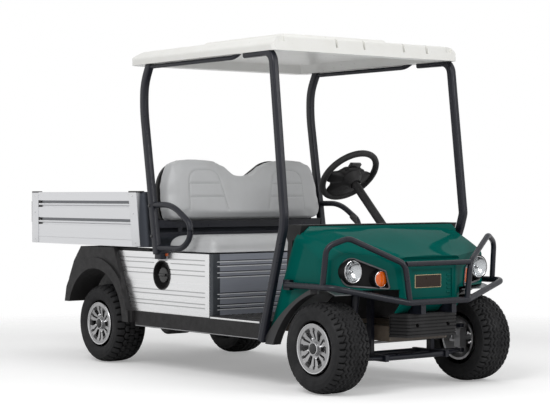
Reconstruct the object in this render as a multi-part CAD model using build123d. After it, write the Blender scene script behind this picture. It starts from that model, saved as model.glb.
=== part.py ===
"""Turf utility vehicle: named pieces in one shared frame.

Frame: millimetres, +X forward, +Y the vehicle's left, +Z up, origin on the ground below mid-length.
The nose, dash, heel and rear axle are the four stations that everything else is placed from.
"""
import math
import os

from build123d import *

os.makedirs("parts", exist_ok=True)

# Driving sizes
WHEELBASE = 2074.0
FRONT_OVERHANG = 306.0
REAR_OVERHANG = 760.0
OVERALL_HEIGHT = 1872.0
HALF_WIDTH = 655.0
DASH_SETBACK = 138.0
LEG_ROOM = 774.0
SIDES = {"left": 1, "right": -1}

# Stations along the vehicle
HALF_LENGTH = (WHEELBASE + FRONT_OVERHANG + REAR_OVERHANG) / 2
FRONT_AXLE_X = HALF_LENGTH - FRONT_OVERHANG
REAR_AXLE_X = FRONT_AXLE_X - WHEELBASE
DASH_X = FRONT_AXLE_X - DASH_SETBACK
HEEL_X = DASH_X - LEG_ROOM

# Clearances
RUNNING_FIT = 0.3
MOVING_GAP = 6.0
PANEL_GAP = 2.0

# Lines across the vehicle
FRONT_STRUT_Y = HALF_WIDTH - 22.0
REAR_STRUT_Y = HALF_WIDTH - 43.0
PANEL_Y = REAR_STRUT_Y - 42.0
PANEL_THICKNESS = 6.0
SILL_Y = PANEL_Y + 8.0
SILL_INNER_Y = SILL_Y - 58.0
COWL_HALF_WIDTH = PANEL_Y - 10.0
FRONT_HALF_TRACK = HALF_WIDTH - 156.0
REAR_HALF_TRACK = HALF_WIDTH - 185.0
KINGPIN_Y = FRONT_HALF_TRACK - 69.0

# Levels
SILL_BOTTOM = 245.0
SILL_TOP = 333.0
DECK_BOTTOM = 664.0
DECK_TOP = 682.0
PANEL_TOP = DECK_TOP - PANEL_GAP
BED_BOTTOM = DECK_TOP + 22.0
CANOPY_EDGE_Z = OVERALL_HEIGHT - 122.0

# Round bar sizes
TUBE = 16.0
SMALL_TUBE = 12.0


def block(x0, x1, y0, y1, z0, z1):
    """A box between two corners."""
    centre = ((x0 + x1) / 2, (y0 + y1) / 2, (z0 + z1) / 2)
    return Pos(*centre) * Box(abs(x1 - x0), abs(y1 - y0), abs(z1 - z0))


def outline_face(points, plane=Plane.XY):
    """A flat face from an outline: two or three values a point, the third a corner radius."""
    face = make_face(Polyline(*[point[:2] for point in points], close=True))
    for point in points:
        if len(point) > 2:
            target = Vector(point[0], point[1], 0)
            corner = min(face.vertices(), key=lambda vertex: (vertex.center() - target).length)
            face = fillet(corner, point[2])
    return plane * face


def side_slab(points, y0, y1):
    """Extrude a side view outline of (x, z) between two y planes."""
    face = outline_face(points, Plane.XZ)
    return Pos(0, min(y0, y1), 0) * extrude(face, amount=abs(y1 - y0), dir=(0, 1, 0))


def plan_slab(points, z0, z1):
    """Extrude a plan view outline of (x, y) between two heights."""
    return Pos(0, 0, z0) * extrude(outline_face(points), amount=z1 - z0, dir=(0, 0, 1))


def front_slab(points, x0, x1):
    """Extrude a front view outline of (y, z) between two x planes."""
    face = outline_face(points, Plane.YZ)
    return Pos(min(x0, x1), 0, 0) * extrude(face, amount=abs(x1 - x0), dir=(1, 0, 0))


def rod(start, end, radius):
    """A round bar between two points."""
    a = Vector(*start)
    b = Vector(*end)
    return extrude(Plane(origin=a, z_dir=b - a) * Circle(radius), amount=(b - a).length)


def tube(points, section, bend):
    """A bar of one section along a bent line; the section's own x axis points across the vehicle."""
    path = FilletPolyline(*points, radius=bend)
    return sweep(Plane(origin=path @ 0, x_dir=(0, 1, 0), z_dir=path % 0) * section, path=path)


def mirrored(points, side):
    """The same points on the left (1) or right (-1) side."""
    return [(x, y * side, z) for x, y, z in points]


def from_station(x, points):
    """Points whose first value is counted from a station along the vehicle."""
    return [(x + point[0], *point[1:]) for point in points]


def fused(first, *others):
    """One solid from several that meet."""
    return first.fuse(*others).clean()


def largest(shape):
    """The main solid of a cut shape, without the crumbs that a cut leaves."""
    return max(shape.solids(), key=lambda solid: solid.volume)


parts = {}

# Tyres: rings of flats that carry one tread block each, with shoulder lugs on the rear pair
TYRE_RADIUS = 233.0
TYRE_WIDTH = 207.0
TYRE_FLATS = 48
TYRE_SIDE_RADIUS = 172.0
TYRE_SHOULDER_RADIUS = 213.0
TYRE_SHOULDER_HALF_WIDTH = 94.0
TYRE_CROWN_HALF_WIDTH = 70.0
BEAD_RADIUS = 118.0
BEAD_HALF_WIDTH = 88.0
BEAD_LAND = 6.0
LUG_WIDTH = 15.0
LUG_DEPTH = 26.0
LUG_REACH = 5.0
LUG_STEP = 1.0
AXLE_HEIGHT = TYRE_RADIUS
TYRE_RINGS = (
    # distance from the middle of the tread, radius
    (BEAD_HALF_WIDTH, BEAD_RADIUS + BEAD_LAND),
    (TYRE_WIDTH / 2, TYRE_SIDE_RADIUS),
    (TYRE_SHOULDER_HALF_WIDTH, TYRE_SHOULDER_RADIUS),
    (TYRE_CROWN_HALF_WIDTH, TYRE_RADIUS),
)


def flat_ring(distance, radius):
    """A polygon across the axle whose flats lie at a radius, one flat at the bottom."""
    plane = Plane(origin=(0, distance, 0), x_dir=(1, 0, 0), z_dir=(0, 1, 0))
    return plane * RegularPolygon(radius, TYRE_FLATS, major_radius=False, rotation=180 / TYRE_FLATS)


def tyre_ring():
    near = [flat_ring(-distance, radius) for distance, radius in TYRE_RINGS]
    far = [flat_ring(distance, radius) for distance, radius in reversed(TYRE_RINGS)]
    ring = loft(near + far, ruled=True)
    bore = extrude(flat_ring(-TYRE_WIDTH, BEAD_RADIUS), amount=2 * TYRE_WIDTH, dir=(0, 1, 0))
    return ring - bore


def shoulder_lugs():
    tip = TYRE_RADIUS - LUG_STEP
    outer = TYRE_SHOULDER_HALF_WIDTH + LUG_REACH
    lug = block(tip - LUG_DEPTH, tip, TYRE_CROWN_HALF_WIDTH, outer, -LUG_WIDTH / 2, LUG_WIDTH / 2)
    other = block(tip - LUG_DEPTH, tip, -outer, -TYRE_CROWN_HALF_WIDTH, -LUG_WIDTH / 2, LUG_WIDTH / 2)
    pitch = 360 / TYRE_FLATS
    lugs = [Rot(0, index * pitch, 0) * lug for index in range(0, TYRE_FLATS, 2)]
    return lugs + [Rot(0, index * pitch, 0) * other for index in range(1, TYRE_FLATS, 2)]


# Rims: a barrel and a dished disc with six pairs of spokes round a capped hub
RIM_WALL = 12.0
RIM_LIP = 8.0
RIM_FACE = 92.0
RIM_DISC_THICKNESS = 16.0
RIM_DISH = 12.0
SPOKE_PAIRS = 6
POCKET_INNER = 46.0
POCKET_OUTER = 92.0
POCKET_CORNER = 4.0
POCKET_TURN_DEG = 12.0
POCKETS = (
    # half width at the hub, half width at the barrel, share of the pitch
    (9.0, 17.0, 0.0),
    (4.5, 6.5, 0.5),
)
HUB_RADIUS = 34.0
HUB_LENGTH = 40.0
SPINDLE_RADIUS = 14.0
SPINDLE_END = 80.0


def rim_body():
    barrel_inner = BEAD_RADIUS - RIM_WALL
    lip_y = BEAD_HALF_WIDTH + RIM_LIP
    bore = SPINDLE_RADIUS + RUNNING_FIT
    dish_y = RIM_FACE - RIM_DISH
    barrel = [
        (barrel_inner, -BEAD_HALF_WIDTH),
        (BEAD_RADIUS, -BEAD_HALF_WIDTH),
        (BEAD_RADIUS, BEAD_HALF_WIDTH),
        (BEAD_RADIUS + RIM_LIP, lip_y),
        (barrel_inner, lip_y),
    ]
    disc = [
        (bore, RIM_FACE - HUB_LENGTH),
        (HUB_RADIUS, RIM_FACE - HUB_LENGTH),
        (HUB_RADIUS, dish_y - RIM_DISC_THICKNESS),
        (barrel_inner, RIM_FACE - RIM_DISC_THICKNESS),
        (barrel_inner, RIM_FACE),
        (HUB_RADIUS, dish_y),
        (bore, dish_y),
    ]
    cap = rod((0, dish_y, 0), (0, RIM_FACE, 0), HUB_RADIUS)
    body = fused(revolve(outline_face(barrel), Axis.Y), revolve(outline_face(disc), Axis.Y), cap)
    pitch = 360 / SPOKE_PAIRS
    middle = (POCKET_INNER + POCKET_OUTER) / 2
    for half_inner, half_outer, share in POCKETS:
        outline = [
            (POCKET_INNER - middle, -half_inner, POCKET_CORNER),
            (POCKET_OUTER - middle, -half_outer, POCKET_CORNER),
            (POCKET_OUTER - middle, half_outer, POCKET_CORNER),
            (POCKET_INNER - middle, half_inner, POCKET_CORNER),
        ]
        cutter = Rot(0, POCKET_TURN_DEG, 0) * side_slab(outline, 0, RIM_FACE)
        for index in range(SPOKE_PAIRS):
            body = body - Rot(0, (index + share) * pitch, 0) * Pos(middle, 0, 0) * cutter
    return body


WHEELS = {
    # corner: axle station, distance from the middle, side
    "front_left": (FRONT_AXLE_X, FRONT_HALF_TRACK, 1),
    "front_right": (FRONT_AXLE_X, -FRONT_HALF_TRACK, -1),
    "rear_left": (REAR_AXLE_X, REAR_HALF_TRACK, 1),
    "rear_right": (REAR_AXLE_X, -REAR_HALF_TRACK, -1),
}
smooth_tyre = tyre_ring()
lugged_tyre = fused(smooth_tyre, *shoulder_lugs())
wheel_rim = rim_body()
for name, (axle_x, wheel_y, side) in WHEELS.items():
    place = Pos(axle_x, wheel_y, AXLE_HEIGHT)
    half_turn = 0 if side > 0 else 180
    parts["tyre_" + name] = place * (lugged_tyre if axle_x == REAR_AXLE_X else smooth_tyre)
    parts["rim_" + name] = place * Rot(0, 0, half_turn) * wheel_rim

# Knuckles with kingpin, spindle and steering arm
KINGPIN_RADIUS = 12.0
KNUCKLE_HALF_HEIGHT = 50.0
KNUCKLE_HALF_DEPTH = 22.0
EYE_NEAR = 56.0
EYE_FAR = 76.0
EYE_RADIUS = 25.0
STEERING_ARM = 65.0
STEERING_ARM_BOSS = 13.0
STEERING_ARM_LOW = -22.0
STEERING_ARM_HIGH = -8.0
TIE_PIN_RADIUS = 6.0
TIE_PIN_HIGH = 12.0
TIE_EYE_LOW = -7.0
TIE_EYE_HIGH = 9.0
TIE_ROD_RADIUS = 7.0


def knuckle(side):
    x = FRONT_AXLE_X
    y = KINGPIN_Y * side
    z = AXLE_HEIGHT
    half = KNUCKLE_HALF_DEPTH
    body = block(x - half, x + half, y - half, y + half, z - KNUCKLE_HALF_HEIGHT, z + KNUCKLE_HALF_HEIGHT)
    pin = rod((x, y, z - EYE_FAR), (x, y, z + EYE_FAR), KINGPIN_RADIUS)
    spindle_y = (FRONT_HALF_TRACK + SPINDLE_END - RUNNING_FIT) * side
    spindle = rod((x, y, z), (x, spindle_y, z), SPINDLE_RADIUS)
    arm_x = x - STEERING_ARM
    low = z + STEERING_ARM_LOW
    high = z + STEERING_ARM_HIGH
    arm = block(arm_x, x, y - STEERING_ARM_BOSS, y + STEERING_ARM_BOSS, low, high)
    boss = rod((arm_x, y, low), (arm_x, y, high), STEERING_ARM_BOSS)
    tie_pin = rod((arm_x, y, low), (arm_x, y, z + TIE_PIN_HIGH), TIE_PIN_RADIUS)
    return fused(body, pin, spindle, arm, boss, tie_pin)


for name, side in SIDES.items():
    parts["knuckle_" + name] = knuckle(side)

tie_x = FRONT_AXLE_X - STEERING_ARM
tie_low = AXLE_HEIGHT + TIE_EYE_LOW
tie_high = AXLE_HEIGHT + TIE_EYE_HIGH
tie_middle = (tie_low + tie_high) / 2
tie_rod = rod((tie_x, -KINGPIN_Y, tie_middle), (tie_x, KINGPIN_Y, tie_middle), TIE_ROD_RADIUS)
for side in SIDES.values():
    eye_y = KINGPIN_Y * side
    tie_rod = fused(tie_rod, rod((tie_x, eye_y, tie_low), (tie_x, eye_y, tie_high), STEERING_ARM_BOSS))
    tie_rod = tie_rod - rod((tie_x, eye_y, tie_low), (tie_x, eye_y, tie_high), TIE_PIN_RADIUS + RUNNING_FIT)
parts["tie_rod"] = tie_rod

# Frame rails with the kick-up over the rear axle, bed rests and bed hinge plates
RAIL_INNER_Y = 140.0
RAIL_OUTER_Y = 200.0
RAIL_DEPTH = 78.0
RAIL_FRONT_Z = 255.0
RAIL_REAR_Z = 345.0
RAIL_FRONT_X = HALF_LENGTH - 170.0
RAIL_REAR_X = REAR_AXLE_X - 480.0
KICK_FRONT_X = REAR_AXLE_X + 450.0
KICK_REAR_X = REAR_AXLE_X + 310.0
REST_X = REAR_AXLE_X + 340.0
REST_LENGTH = 44.0
BED_HINGE_X = REAR_AXLE_X - 440.0
BED_HINGE_Z = BED_BOTTOM - 64.0
HINGE_PIN_RADIUS = 10.0
HINGE_PLATE_HALF = 40.0
HINGE_PLATE_TOP = BED_HINGE_Z + 20.0
rail_outline = [
    (RAIL_FRONT_X, RAIL_FRONT_Z),
    (KICK_FRONT_X, RAIL_FRONT_Z),
    (KICK_REAR_X, RAIL_REAR_Z),
    (RAIL_REAR_X, RAIL_REAR_Z),
    (RAIL_REAR_X, RAIL_REAR_Z + RAIL_DEPTH),
    (KICK_REAR_X, RAIL_REAR_Z + RAIL_DEPTH),
    (KICK_FRONT_X, RAIL_FRONT_Z + RAIL_DEPTH),
    (RAIL_FRONT_X, RAIL_FRONT_Z + RAIL_DEPTH),
]
hinge_bore = rod((BED_HINGE_X, -RAIL_OUTER_Y, BED_HINGE_Z), (BED_HINGE_X, RAIL_OUTER_Y, BED_HINGE_Z),
                 HINGE_PIN_RADIUS + RUNNING_FIT)
rails = []
for side in SIDES.values():
    span = (RAIL_INNER_Y * side, RAIL_OUTER_Y * side)
    rail = side_slab(rail_outline, *span)
    rest = block(REST_X, REST_X + REST_LENGTH, *span, RAIL_REAR_Z, BED_BOTTOM - MOVING_GAP)
    plate = block(BED_HINGE_X - HINGE_PLATE_HALF, BED_HINGE_X + HINGE_PLATE_HALF, *span,
                  RAIL_REAR_Z, HINGE_PLATE_TOP)
    rails.append(fused(rail, rest, plate) - hinge_bore)
parts["frame_rails"] = Compound(rails)

# Crossmembers between the rails, outriggers beside them and the rear receiver
MEMBER_LENGTH = 40.0
CROSSMEMBERS = (
    # station, bottom
    (RAIL_FRONT_X - MEMBER_LENGTH, RAIL_FRONT_Z),
    (FRONT_AXLE_X - 404.0, RAIL_FRONT_Z),
    (HEEL_X + 8.0, RAIL_FRONT_Z),
    (KICK_FRONT_X + MEMBER_LENGTH, RAIL_FRONT_Z),
    (REAR_AXLE_X + 250.0, RAIL_REAR_Z),
)
OUTRIGGER_LENGTH = 44.0
OUTRIGGER_DEPTH = 45.0
OUTRIGGERS = (
    # station, outer end, top
    (DASH_X - 326.0, SILL_INNER_Y, SILL_TOP),
    (HEEL_X - 52.0, SILL_INNER_Y, SILL_TOP),
    (KICK_FRONT_X + 200.0, SILL_INNER_Y, SILL_TOP),
    (KICK_REAR_X + 20.0, PANEL_Y - PANEL_THICKNESS, RAIL_REAR_Z + RAIL_DEPTH),
)
RECEIVER_SIZE = 64.0
RECEIVER_BORE = 51.0
RECEIVER_LENGTH = 220.0
RECEIVER_REACH = 60.0
HITCH_PIN_RADIUS = 8.0
HITCH_PIN_INSET = 36.0
members = []
for x0, bottom in CROSSMEMBERS:
    members.append(block(x0, x0 + MEMBER_LENGTH, -RAIL_INNER_Y, RAIL_INNER_Y, bottom, bottom + RAIL_DEPTH))
for x0, outer, top in OUTRIGGERS:
    for side in SIDES.values():
        members.append(block(x0, x0 + OUTRIGGER_LENGTH, RAIL_OUTER_Y * side, outer * side,
                             top - OUTRIGGER_DEPTH, top))
receiver_z = RAIL_REAR_Z + RAIL_DEPTH / 2
receiver_x = RAIL_REAR_X - RECEIVER_REACH
half_size = RECEIVER_SIZE / 2
half_bore = RECEIVER_BORE / 2
socket_end = receiver_x + RECEIVER_LENGTH - MEMBER_LENGTH
rear_member = block(RAIL_REAR_X, RAIL_REAR_X + MEMBER_LENGTH, -RAIL_INNER_Y, RAIL_INNER_Y,
                    RAIL_REAR_Z, RAIL_REAR_Z + RAIL_DEPTH)
receiver = block(receiver_x, receiver_x + RECEIVER_LENGTH, -half_size, half_size,
                 receiver_z - half_size, receiver_z + half_size)
socket = block(receiver_x, socket_end, -half_bore, half_bore, receiver_z - half_bore, receiver_z + half_bore)
hitch_pin_x = receiver_x + HITCH_PIN_INSET
pin_hole = rod((hitch_pin_x, -RECEIVER_SIZE, receiver_z), (hitch_pin_x, RECEIVER_SIZE, receiver_z),
               HITCH_PIN_RADIUS)
members.append(fused(rear_member, receiver) - socket - pin_hole)
parts["crossmembers"] = Compound(members)

# Seat deck on its posts, with the front corner posts of the seat box
DECK_REAR_X = HEEL_X - 542.0
POST_OUTER_Y = PANEL_Y - 80.0
POST_WIDTH = 44.0
CORNER_POST_INNER_Y = PANEL_Y - 60.0
CORNER_POST_DEPTH = 40.0
CORNER_ROUND = 14.0
deck_edge = PANEL_Y - PANEL_THICKNESS
heel_back = HEEL_X - PANEL_THICKNESS
deck_solids = [block(DECK_REAR_X, heel_back, -deck_edge, deck_edge, DECK_BOTTOM, DECK_TOP)]
for side in SIDES.values():
    for x0, outer, top in OUTRIGGERS[1:3]:
        inner_y = (POST_OUTER_Y - POST_WIDTH) * side
        deck_solids.append(block(x0, x0 + OUTRIGGER_LENGTH, POST_OUTER_Y * side, inner_y, top, DECK_BOTTOM))
    post_outline = [
        (HEEL_X - CORNER_POST_DEPTH, CORNER_POST_INNER_Y * side),
        (HEEL_X, CORNER_POST_INNER_Y * side),
        (HEEL_X, deck_edge * side, CORNER_ROUND),
        (HEEL_X - CORNER_POST_DEPTH, deck_edge * side),
    ]
    deck_solids.append(plan_slab(post_outline, SILL_TOP, PANEL_TOP))
parts["seat_deck"] = fused(*deck_solids)

# Front suspension: crossmember, tubular lower arms, upper arms, damper towers and dampers
ARM_PIVOT_Y = RAIL_OUTER_Y + 15.0
ARM_PIVOT_X = 105.0
ARM_RADIUS = 10.0
UPPER_ARM_HALF = 20.0
CROSS_HALF_X = 130.0
CROSS_BOTTOM = 152.0
CROSS_TOP = 186.0
CROSS_TUBE = 15.0
TOWER_HALF_X = 18.0
TOWER_WALL = 22.0
TOWER_TOP = 560.0
TOWER_PLATE = 14.0
UPPER_ARM_INNER_Y = KINGPIN_Y - 100.0
DAMPER_FOOT_Y = KINGPIN_Y - 85.0
DAMPER_HEAD_Y = KINGPIN_Y - 130.0
DAMPER_RADIUS = 22.0
x = FRONT_AXLE_X
lower_z = (AXLE_HEIGHT - EYE_FAR, AXLE_HEIGHT - EYE_NEAR)
upper_z = (AXLE_HEIGHT + EYE_NEAR, AXLE_HEIGHT + EYE_FAR)
arm_z = sum(lower_z) / 2
cross_z = (CROSS_BOTTOM + CROSS_TOP) / 2
suspension = rod((x, -ARM_PIVOT_Y, cross_z), (x, ARM_PIVOT_Y, cross_z), ARM_RADIUS)
for reach in (-ARM_PIVOT_X, ARM_PIVOT_X):
    cross_tube = rod((x + reach, -ARM_PIVOT_Y, cross_z), (x + reach, ARM_PIVOT_Y, cross_z), CROSS_TUBE)
    suspension = suspension + cross_tube
for side in SIDES.values():
    kingpin = KINGPIN_Y * side
    inner = RAIL_OUTER_Y * side
    reaches = (-ARM_PIVOT_X, ARM_PIVOT_X)
    arms = [rod((x + reach, inner, arm_z), (x, kingpin, arm_z), ARM_RADIUS) for reach in reaches]
    upper_arm = block(x - UPPER_ARM_HALF, x + UPPER_ARM_HALF, UPPER_ARM_INNER_Y * side, kingpin, *upper_z)
    tower_outer = (RAIL_OUTER_Y + TOWER_WALL) * side
    tower = block(x - TOWER_HALF_X, x + TOWER_HALF_X, inner, tower_outer, CROSS_BOTTOM, TOWER_TOP)
    side_bar = block(x - CROSS_HALF_X, x + CROSS_HALF_X, inner, tower_outer, CROSS_BOTTOM, CROSS_TOP)
    head = block(x - TOWER_HALF_X, x + TOWER_HALF_X, inner, UPPER_ARM_INNER_Y * side,
                 TOWER_TOP - TOWER_PLATE, TOWER_TOP)
    damper = rod((x, DAMPER_FOOT_Y * side, upper_z[0]), (x, DAMPER_HEAD_Y * side, TOWER_TOP), DAMPER_RADIUS)
    eyes = [rod((x, kingpin, low), (x, kingpin, high), EYE_RADIUS) for low, high in (lower_z, upper_z)]
    suspension = fused(suspension, *arms, upper_arm, tower, side_bar, head, damper, *eyes)
    above_tower = block(x - CROSS_HALF_X, x + CROSS_HALF_X, inner, kingpin, TOWER_TOP, TOWER_TOP + CROSS_TOP)
    bore = rod((x, kingpin, 0), (x, kingpin, TOWER_TOP), KINGPIN_RADIUS + RUNNING_FIT)
    suspension = suspension - above_tower - bore
parts["front_suspension"] = suspension

# Rear axle with transaxle housing, brake drums, leaf springs and dampers
AXLE_TUBE_RADIUS = 30.0
DRUM_END = REAR_HALF_TRACK - 40.0
DRUM_LENGTH = 40.0
DRUM_RADIUS = 86.0
HOUSING_RADIUS = 92.0
HOUSING_HALF_WIDTH = 85.0
HOUSING_ROUND = 20.0
SPRING_Y = RAIL_OUTER_Y + 100.0
SPRING_WIDTH = 50.0
SPRING_LEAF = 16.0
SPRING_REACH = 400.0
SPRING_EYE_RISE = 120.0
REAR_DAMPER_RADIUS = 20.0
tube_end = DRUM_END - DRUM_LENGTH
axle = rod((REAR_AXLE_X, -tube_end, AXLE_HEIGHT), (REAR_AXLE_X, tube_end, AXLE_HEIGHT), AXLE_TUBE_RADIUS)
housing = rod((REAR_AXLE_X, -HOUSING_HALF_WIDTH, AXLE_HEIGHT), (REAR_AXLE_X, HOUSING_HALF_WIDTH, AXLE_HEIGHT),
              HOUSING_RADIUS)
axle = fused(axle, fillet(housing.edges(), HOUSING_ROUND))
spring_base = AXLE_HEIGHT - AXLE_TUBE_RADIUS - SPRING_LEAF / 2
spring_steps = (
    # share of the reach, share of the eye's rise
    (-1.0, 1.0),
    (-0.5, 0.25),
    (0.0, 0.0),
    (0.5, 0.25),
    (1.0, 1.0),
)
spring_under = [(REAR_AXLE_X + SPRING_REACH * a, spring_base + SPRING_EYE_RISE * b) for a, b in spring_steps]
spring_over = [(px, pz + SPRING_LEAF) for px, pz in reversed(spring_under)]
for side in SIDES.values():
    drum_inner = (REAR_AXLE_X, tube_end * side, AXLE_HEIGHT)
    drum = rod(drum_inner, (REAR_AXLE_X, DRUM_END * side, AXLE_HEIGHT), DRUM_RADIUS)
    stub_end = (REAR_HALF_TRACK + SPINDLE_END - RUNNING_FIT) * side
    stub = rod(drum_inner, (REAR_AXLE_X, stub_end, AXLE_HEIGHT), SPINDLE_RADIUS)
    spring_inner = (SPRING_Y - SPRING_WIDTH / 2) * side
    spring_outer = (SPRING_Y + SPRING_WIDTH / 2) * side
    spring = side_slab(spring_under + spring_over, spring_inner, spring_outer)
    hangers = []
    for eye_x in (REAR_AXLE_X - SPRING_REACH, REAR_AXLE_X + SPRING_REACH):
        hangers.append(block(eye_x - SPRING_LEAF, eye_x + SPRING_LEAF, RAIL_OUTER_Y * side, spring_outer,
                             spring_base + SPRING_EYE_RISE, receiver_z))
    damper_y = (RAIL_OUTER_Y + REAR_DAMPER_RADIUS) * side
    damper = rod((REAR_AXLE_X, damper_y, AXLE_HEIGHT), (REAR_AXLE_X, damper_y, RAIL_REAR_Z + RAIL_DEPTH),
                 REAR_DAMPER_RADIUS)
    axle = fused(axle, drum, stub, spring, damper, *hangers)
parts["rear_axle"] = axle

# Engine: one plain block ahead of the transaxle, on a crossmember
ENGINE_REAR_X = REAR_AXLE_X + 120.0
ENGINE_FRONT_X = REAR_AXLE_X + 390.0
ENGINE_HALF_WIDTH = RAIL_INNER_Y - PANEL_GAP
ENGINE_TOP = DECK_BOTTOM - 24.0
ENGINE_ROUND = 20.0
engine = block(ENGINE_REAR_X, ENGINE_FRONT_X, -ENGINE_HALF_WIDTH, ENGINE_HALF_WIDTH,
               RAIL_REAR_Z + RAIL_DEPTH, ENGINE_TOP)
parts["engine"] = fillet(engine.edges().filter_by(Axis.Z), ENGINE_ROUND)

# Floor pan with sills and toe board
FLOOR_THICKNESS = 12.0
TOE_X = DASH_X - 226.0
TOE_TOP_X = DASH_X - 126.0
TOE_TOP_Z = 560.0
SILL_REAR_X = REAR_AXLE_X + 414.0
SILL_FRONT_X = DASH_X - 274.0
SILL_RAKE = 40.0
FLOOR_REAR_X = HEEL_X + PANEL_GAP
floor_plan = [
    (FLOOR_REAR_X, -SILL_Y),
    (SILL_FRONT_X, -SILL_Y),
    (SILL_FRONT_X, -SILL_INNER_Y),
    (TOE_X, -SILL_INNER_Y),
    (TOE_X, SILL_INNER_Y),
    (SILL_FRONT_X, SILL_INNER_Y),
    (SILL_FRONT_X, SILL_Y),
    (FLOOR_REAR_X, SILL_Y),
]
toe_outline = [
    (TOE_X - FLOOR_THICKNESS, SILL_TOP),
    (TOE_X, SILL_TOP),
    (TOE_TOP_X, TOE_TOP_Z),
    (TOE_TOP_X - FLOOR_THICKNESS, TOE_TOP_Z),
]
sill_outline = [
    (SILL_REAR_X, SILL_BOTTOM),
    (SILL_FRONT_X - SILL_RAKE, SILL_BOTTOM),
    (SILL_FRONT_X, SILL_TOP),
    (SILL_REAR_X, SILL_TOP),
]
floor = plan_slab(floor_plan, SILL_TOP, SILL_TOP + FLOOR_THICKNESS)
floor = fused(floor, side_slab(toe_outline, -SILL_INNER_Y, SILL_INNER_Y))
for side in SIDES.values():
    floor = fused(floor, side_slab(sill_outline, SILL_INNER_Y * side, SILL_Y * side))
parts["floor_pan"] = floor

# Rear fenders: hollow flares with a raised arch lip
FENDER_OUTER_Y = REAR_STRUT_Y
FENDER_LIP = 12.0
FENDER_LIP_WIDTH = 66.0
FENDER_INNER_Y = FENDER_OUTER_Y - 182.0
FENDER_WALL = 8.0
FENDER_TOP = BED_BOTTOM - MOVING_GAP - PANEL_GAP
FENDER_EDGE_TOP_X = REAR_AXLE_X + 220.0
FENDER_EDGE_BOTTOM_X = REAR_AXLE_X + 374.0
FENDER_FOOT_X = SILL_REAR_X - PANEL_GAP
FENDER_FOOT_Z = 266.0
FENDER_TAIL_Z = 355.0
ARCH_X = REAR_AXLE_X + 20.0
ARCH_Z = AXLE_HEIGHT + 27.0
ARCH_RADIUS = 306.0
FENDER_TAIL = (
    # distance behind the rear axle, height, from the tail tip to the top
    (324.0, FENDER_TAIL_Z),
    (290.0, 500.0),
    (232.0, 606.0),
    (150.0, FENDER_TOP),
)
fender_outline = [(REAR_AXLE_X - behind, height) for behind, height in FENDER_TAIL]
fender_outline += [
    (FENDER_EDGE_TOP_X, FENDER_TOP),
    (FENDER_EDGE_BOTTOM_X, SILL_TOP),
    (FENDER_FOOT_X, SILL_TOP),
    (FENDER_FOOT_X, FENDER_FOOT_Z),
    (ARCH_X, FENDER_FOOT_Z),
    (ARCH_X, FENDER_TAIL_Z),
]


def arch_drum(radius, side):
    """A cylinder across one rear fender, round the wheel arch's centre."""
    return rod((ARCH_X, (FENDER_INNER_Y - FENDER_WALL) * side, ARCH_Z),
               (ARCH_X, (FENDER_OUTER_Y + FENDER_WALL) * side, ARCH_Z), radius)


for name, side in SIDES.items():
    skin_y = (FENDER_OUTER_Y - FENDER_LIP) * side
    skin = side_slab(fender_outline, FENDER_INNER_Y * side, skin_y)
    lip = side_slab(fender_outline, skin_y, FENDER_OUTER_Y * side)
    lip = lip & arch_drum(ARCH_RADIUS + FENDER_LIP_WIDTH, side)
    pocket_face = offset(outline_face(fender_outline, Plane.XZ), amount=-FENDER_WALL)
    pocket_depth = abs(skin_y) - FENDER_WALL - FENDER_INNER_Y
    pocket_start = min(FENDER_INNER_Y * side, skin_y - FENDER_WALL * side)
    pocket = Pos(0, pocket_start, 0) * extrude(pocket_face, amount=pocket_depth, dir=(0, 1, 0))
    pocket = pocket - arch_drum(ARCH_RADIUS + FENDER_WALL, side)
    fender = fused(skin, lip) - arch_drum(ARCH_RADIUS, side) - pocket
    parts["rear_fender_" + name] = largest(fender - parts["crossmembers"])

# Body panels round the seat base: two side panels and the heel panel, all with pressed grooves
RIB_GROOVE = 6.0
RIB_DEPTH = 3.0
RIB_RISES = (45.0, 67.0, 106.0, 130.0, 222.0, 248.0, 283.0, 308.0)
FILLER_SETBACK = 30.0
FILLER_DROP = 130.0
FILLER_RADIUS = 84.0
panel_front_x = HEEL_X - CORNER_ROUND - PANEL_GAP
edge_slope = (FENDER_EDGE_TOP_X - FENDER_EDGE_BOTTOM_X) / (FENDER_TOP - SILL_TOP)
panel_outline = [
    (FENDER_EDGE_BOTTOM_X + PANEL_GAP, SILL_TOP),
    (panel_front_x, SILL_TOP),
    (panel_front_x, PANEL_TOP),
    (FENDER_EDGE_BOTTOM_X + edge_slope * (PANEL_TOP - SILL_TOP) + PANEL_GAP, PANEL_TOP),
]
rib_heights = [SILL_TOP + rise for rise in RIB_RISES]
rib_inset = 40.0
filler_z = PANEL_TOP - FILLER_DROP
filler_edge_x = FENDER_EDGE_BOTTOM_X + edge_slope * (filler_z - SILL_TOP)
filler_x = (filler_edge_x + panel_front_x) / 2 - FILLER_SETBACK
for name, side in SIDES.items():
    face_y = PANEL_Y * side
    panel = side_slab(panel_outline, face_y, (PANEL_Y - PANEL_THICKNESS) * side)
    for height in rib_heights:
        panel = panel - block(FENDER_EDGE_TOP_X, panel_front_x - rib_inset,
                              (PANEL_Y - RIB_DEPTH) * side, face_y, height, height + RIB_GROOVE)
    if side < 0:
        back_y = face_y + PANEL_THICKNESS
        panel = panel - rod((filler_x, face_y, filler_z), (filler_x, back_y, filler_z), FILLER_RADIUS)
    parts["side_panel_" + name] = panel
heel_edge = CORNER_POST_INNER_Y - PANEL_GAP
heel = block(heel_back, HEEL_X, -heel_edge, heel_edge, SILL_TOP, PANEL_TOP)
for height in rib_heights:
    heel = heel - block(HEEL_X - RIB_DEPTH, HEEL_X, -heel_edge, heel_edge, height, height + RIB_GROOVE)
parts["heel_panel"] = heel

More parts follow.
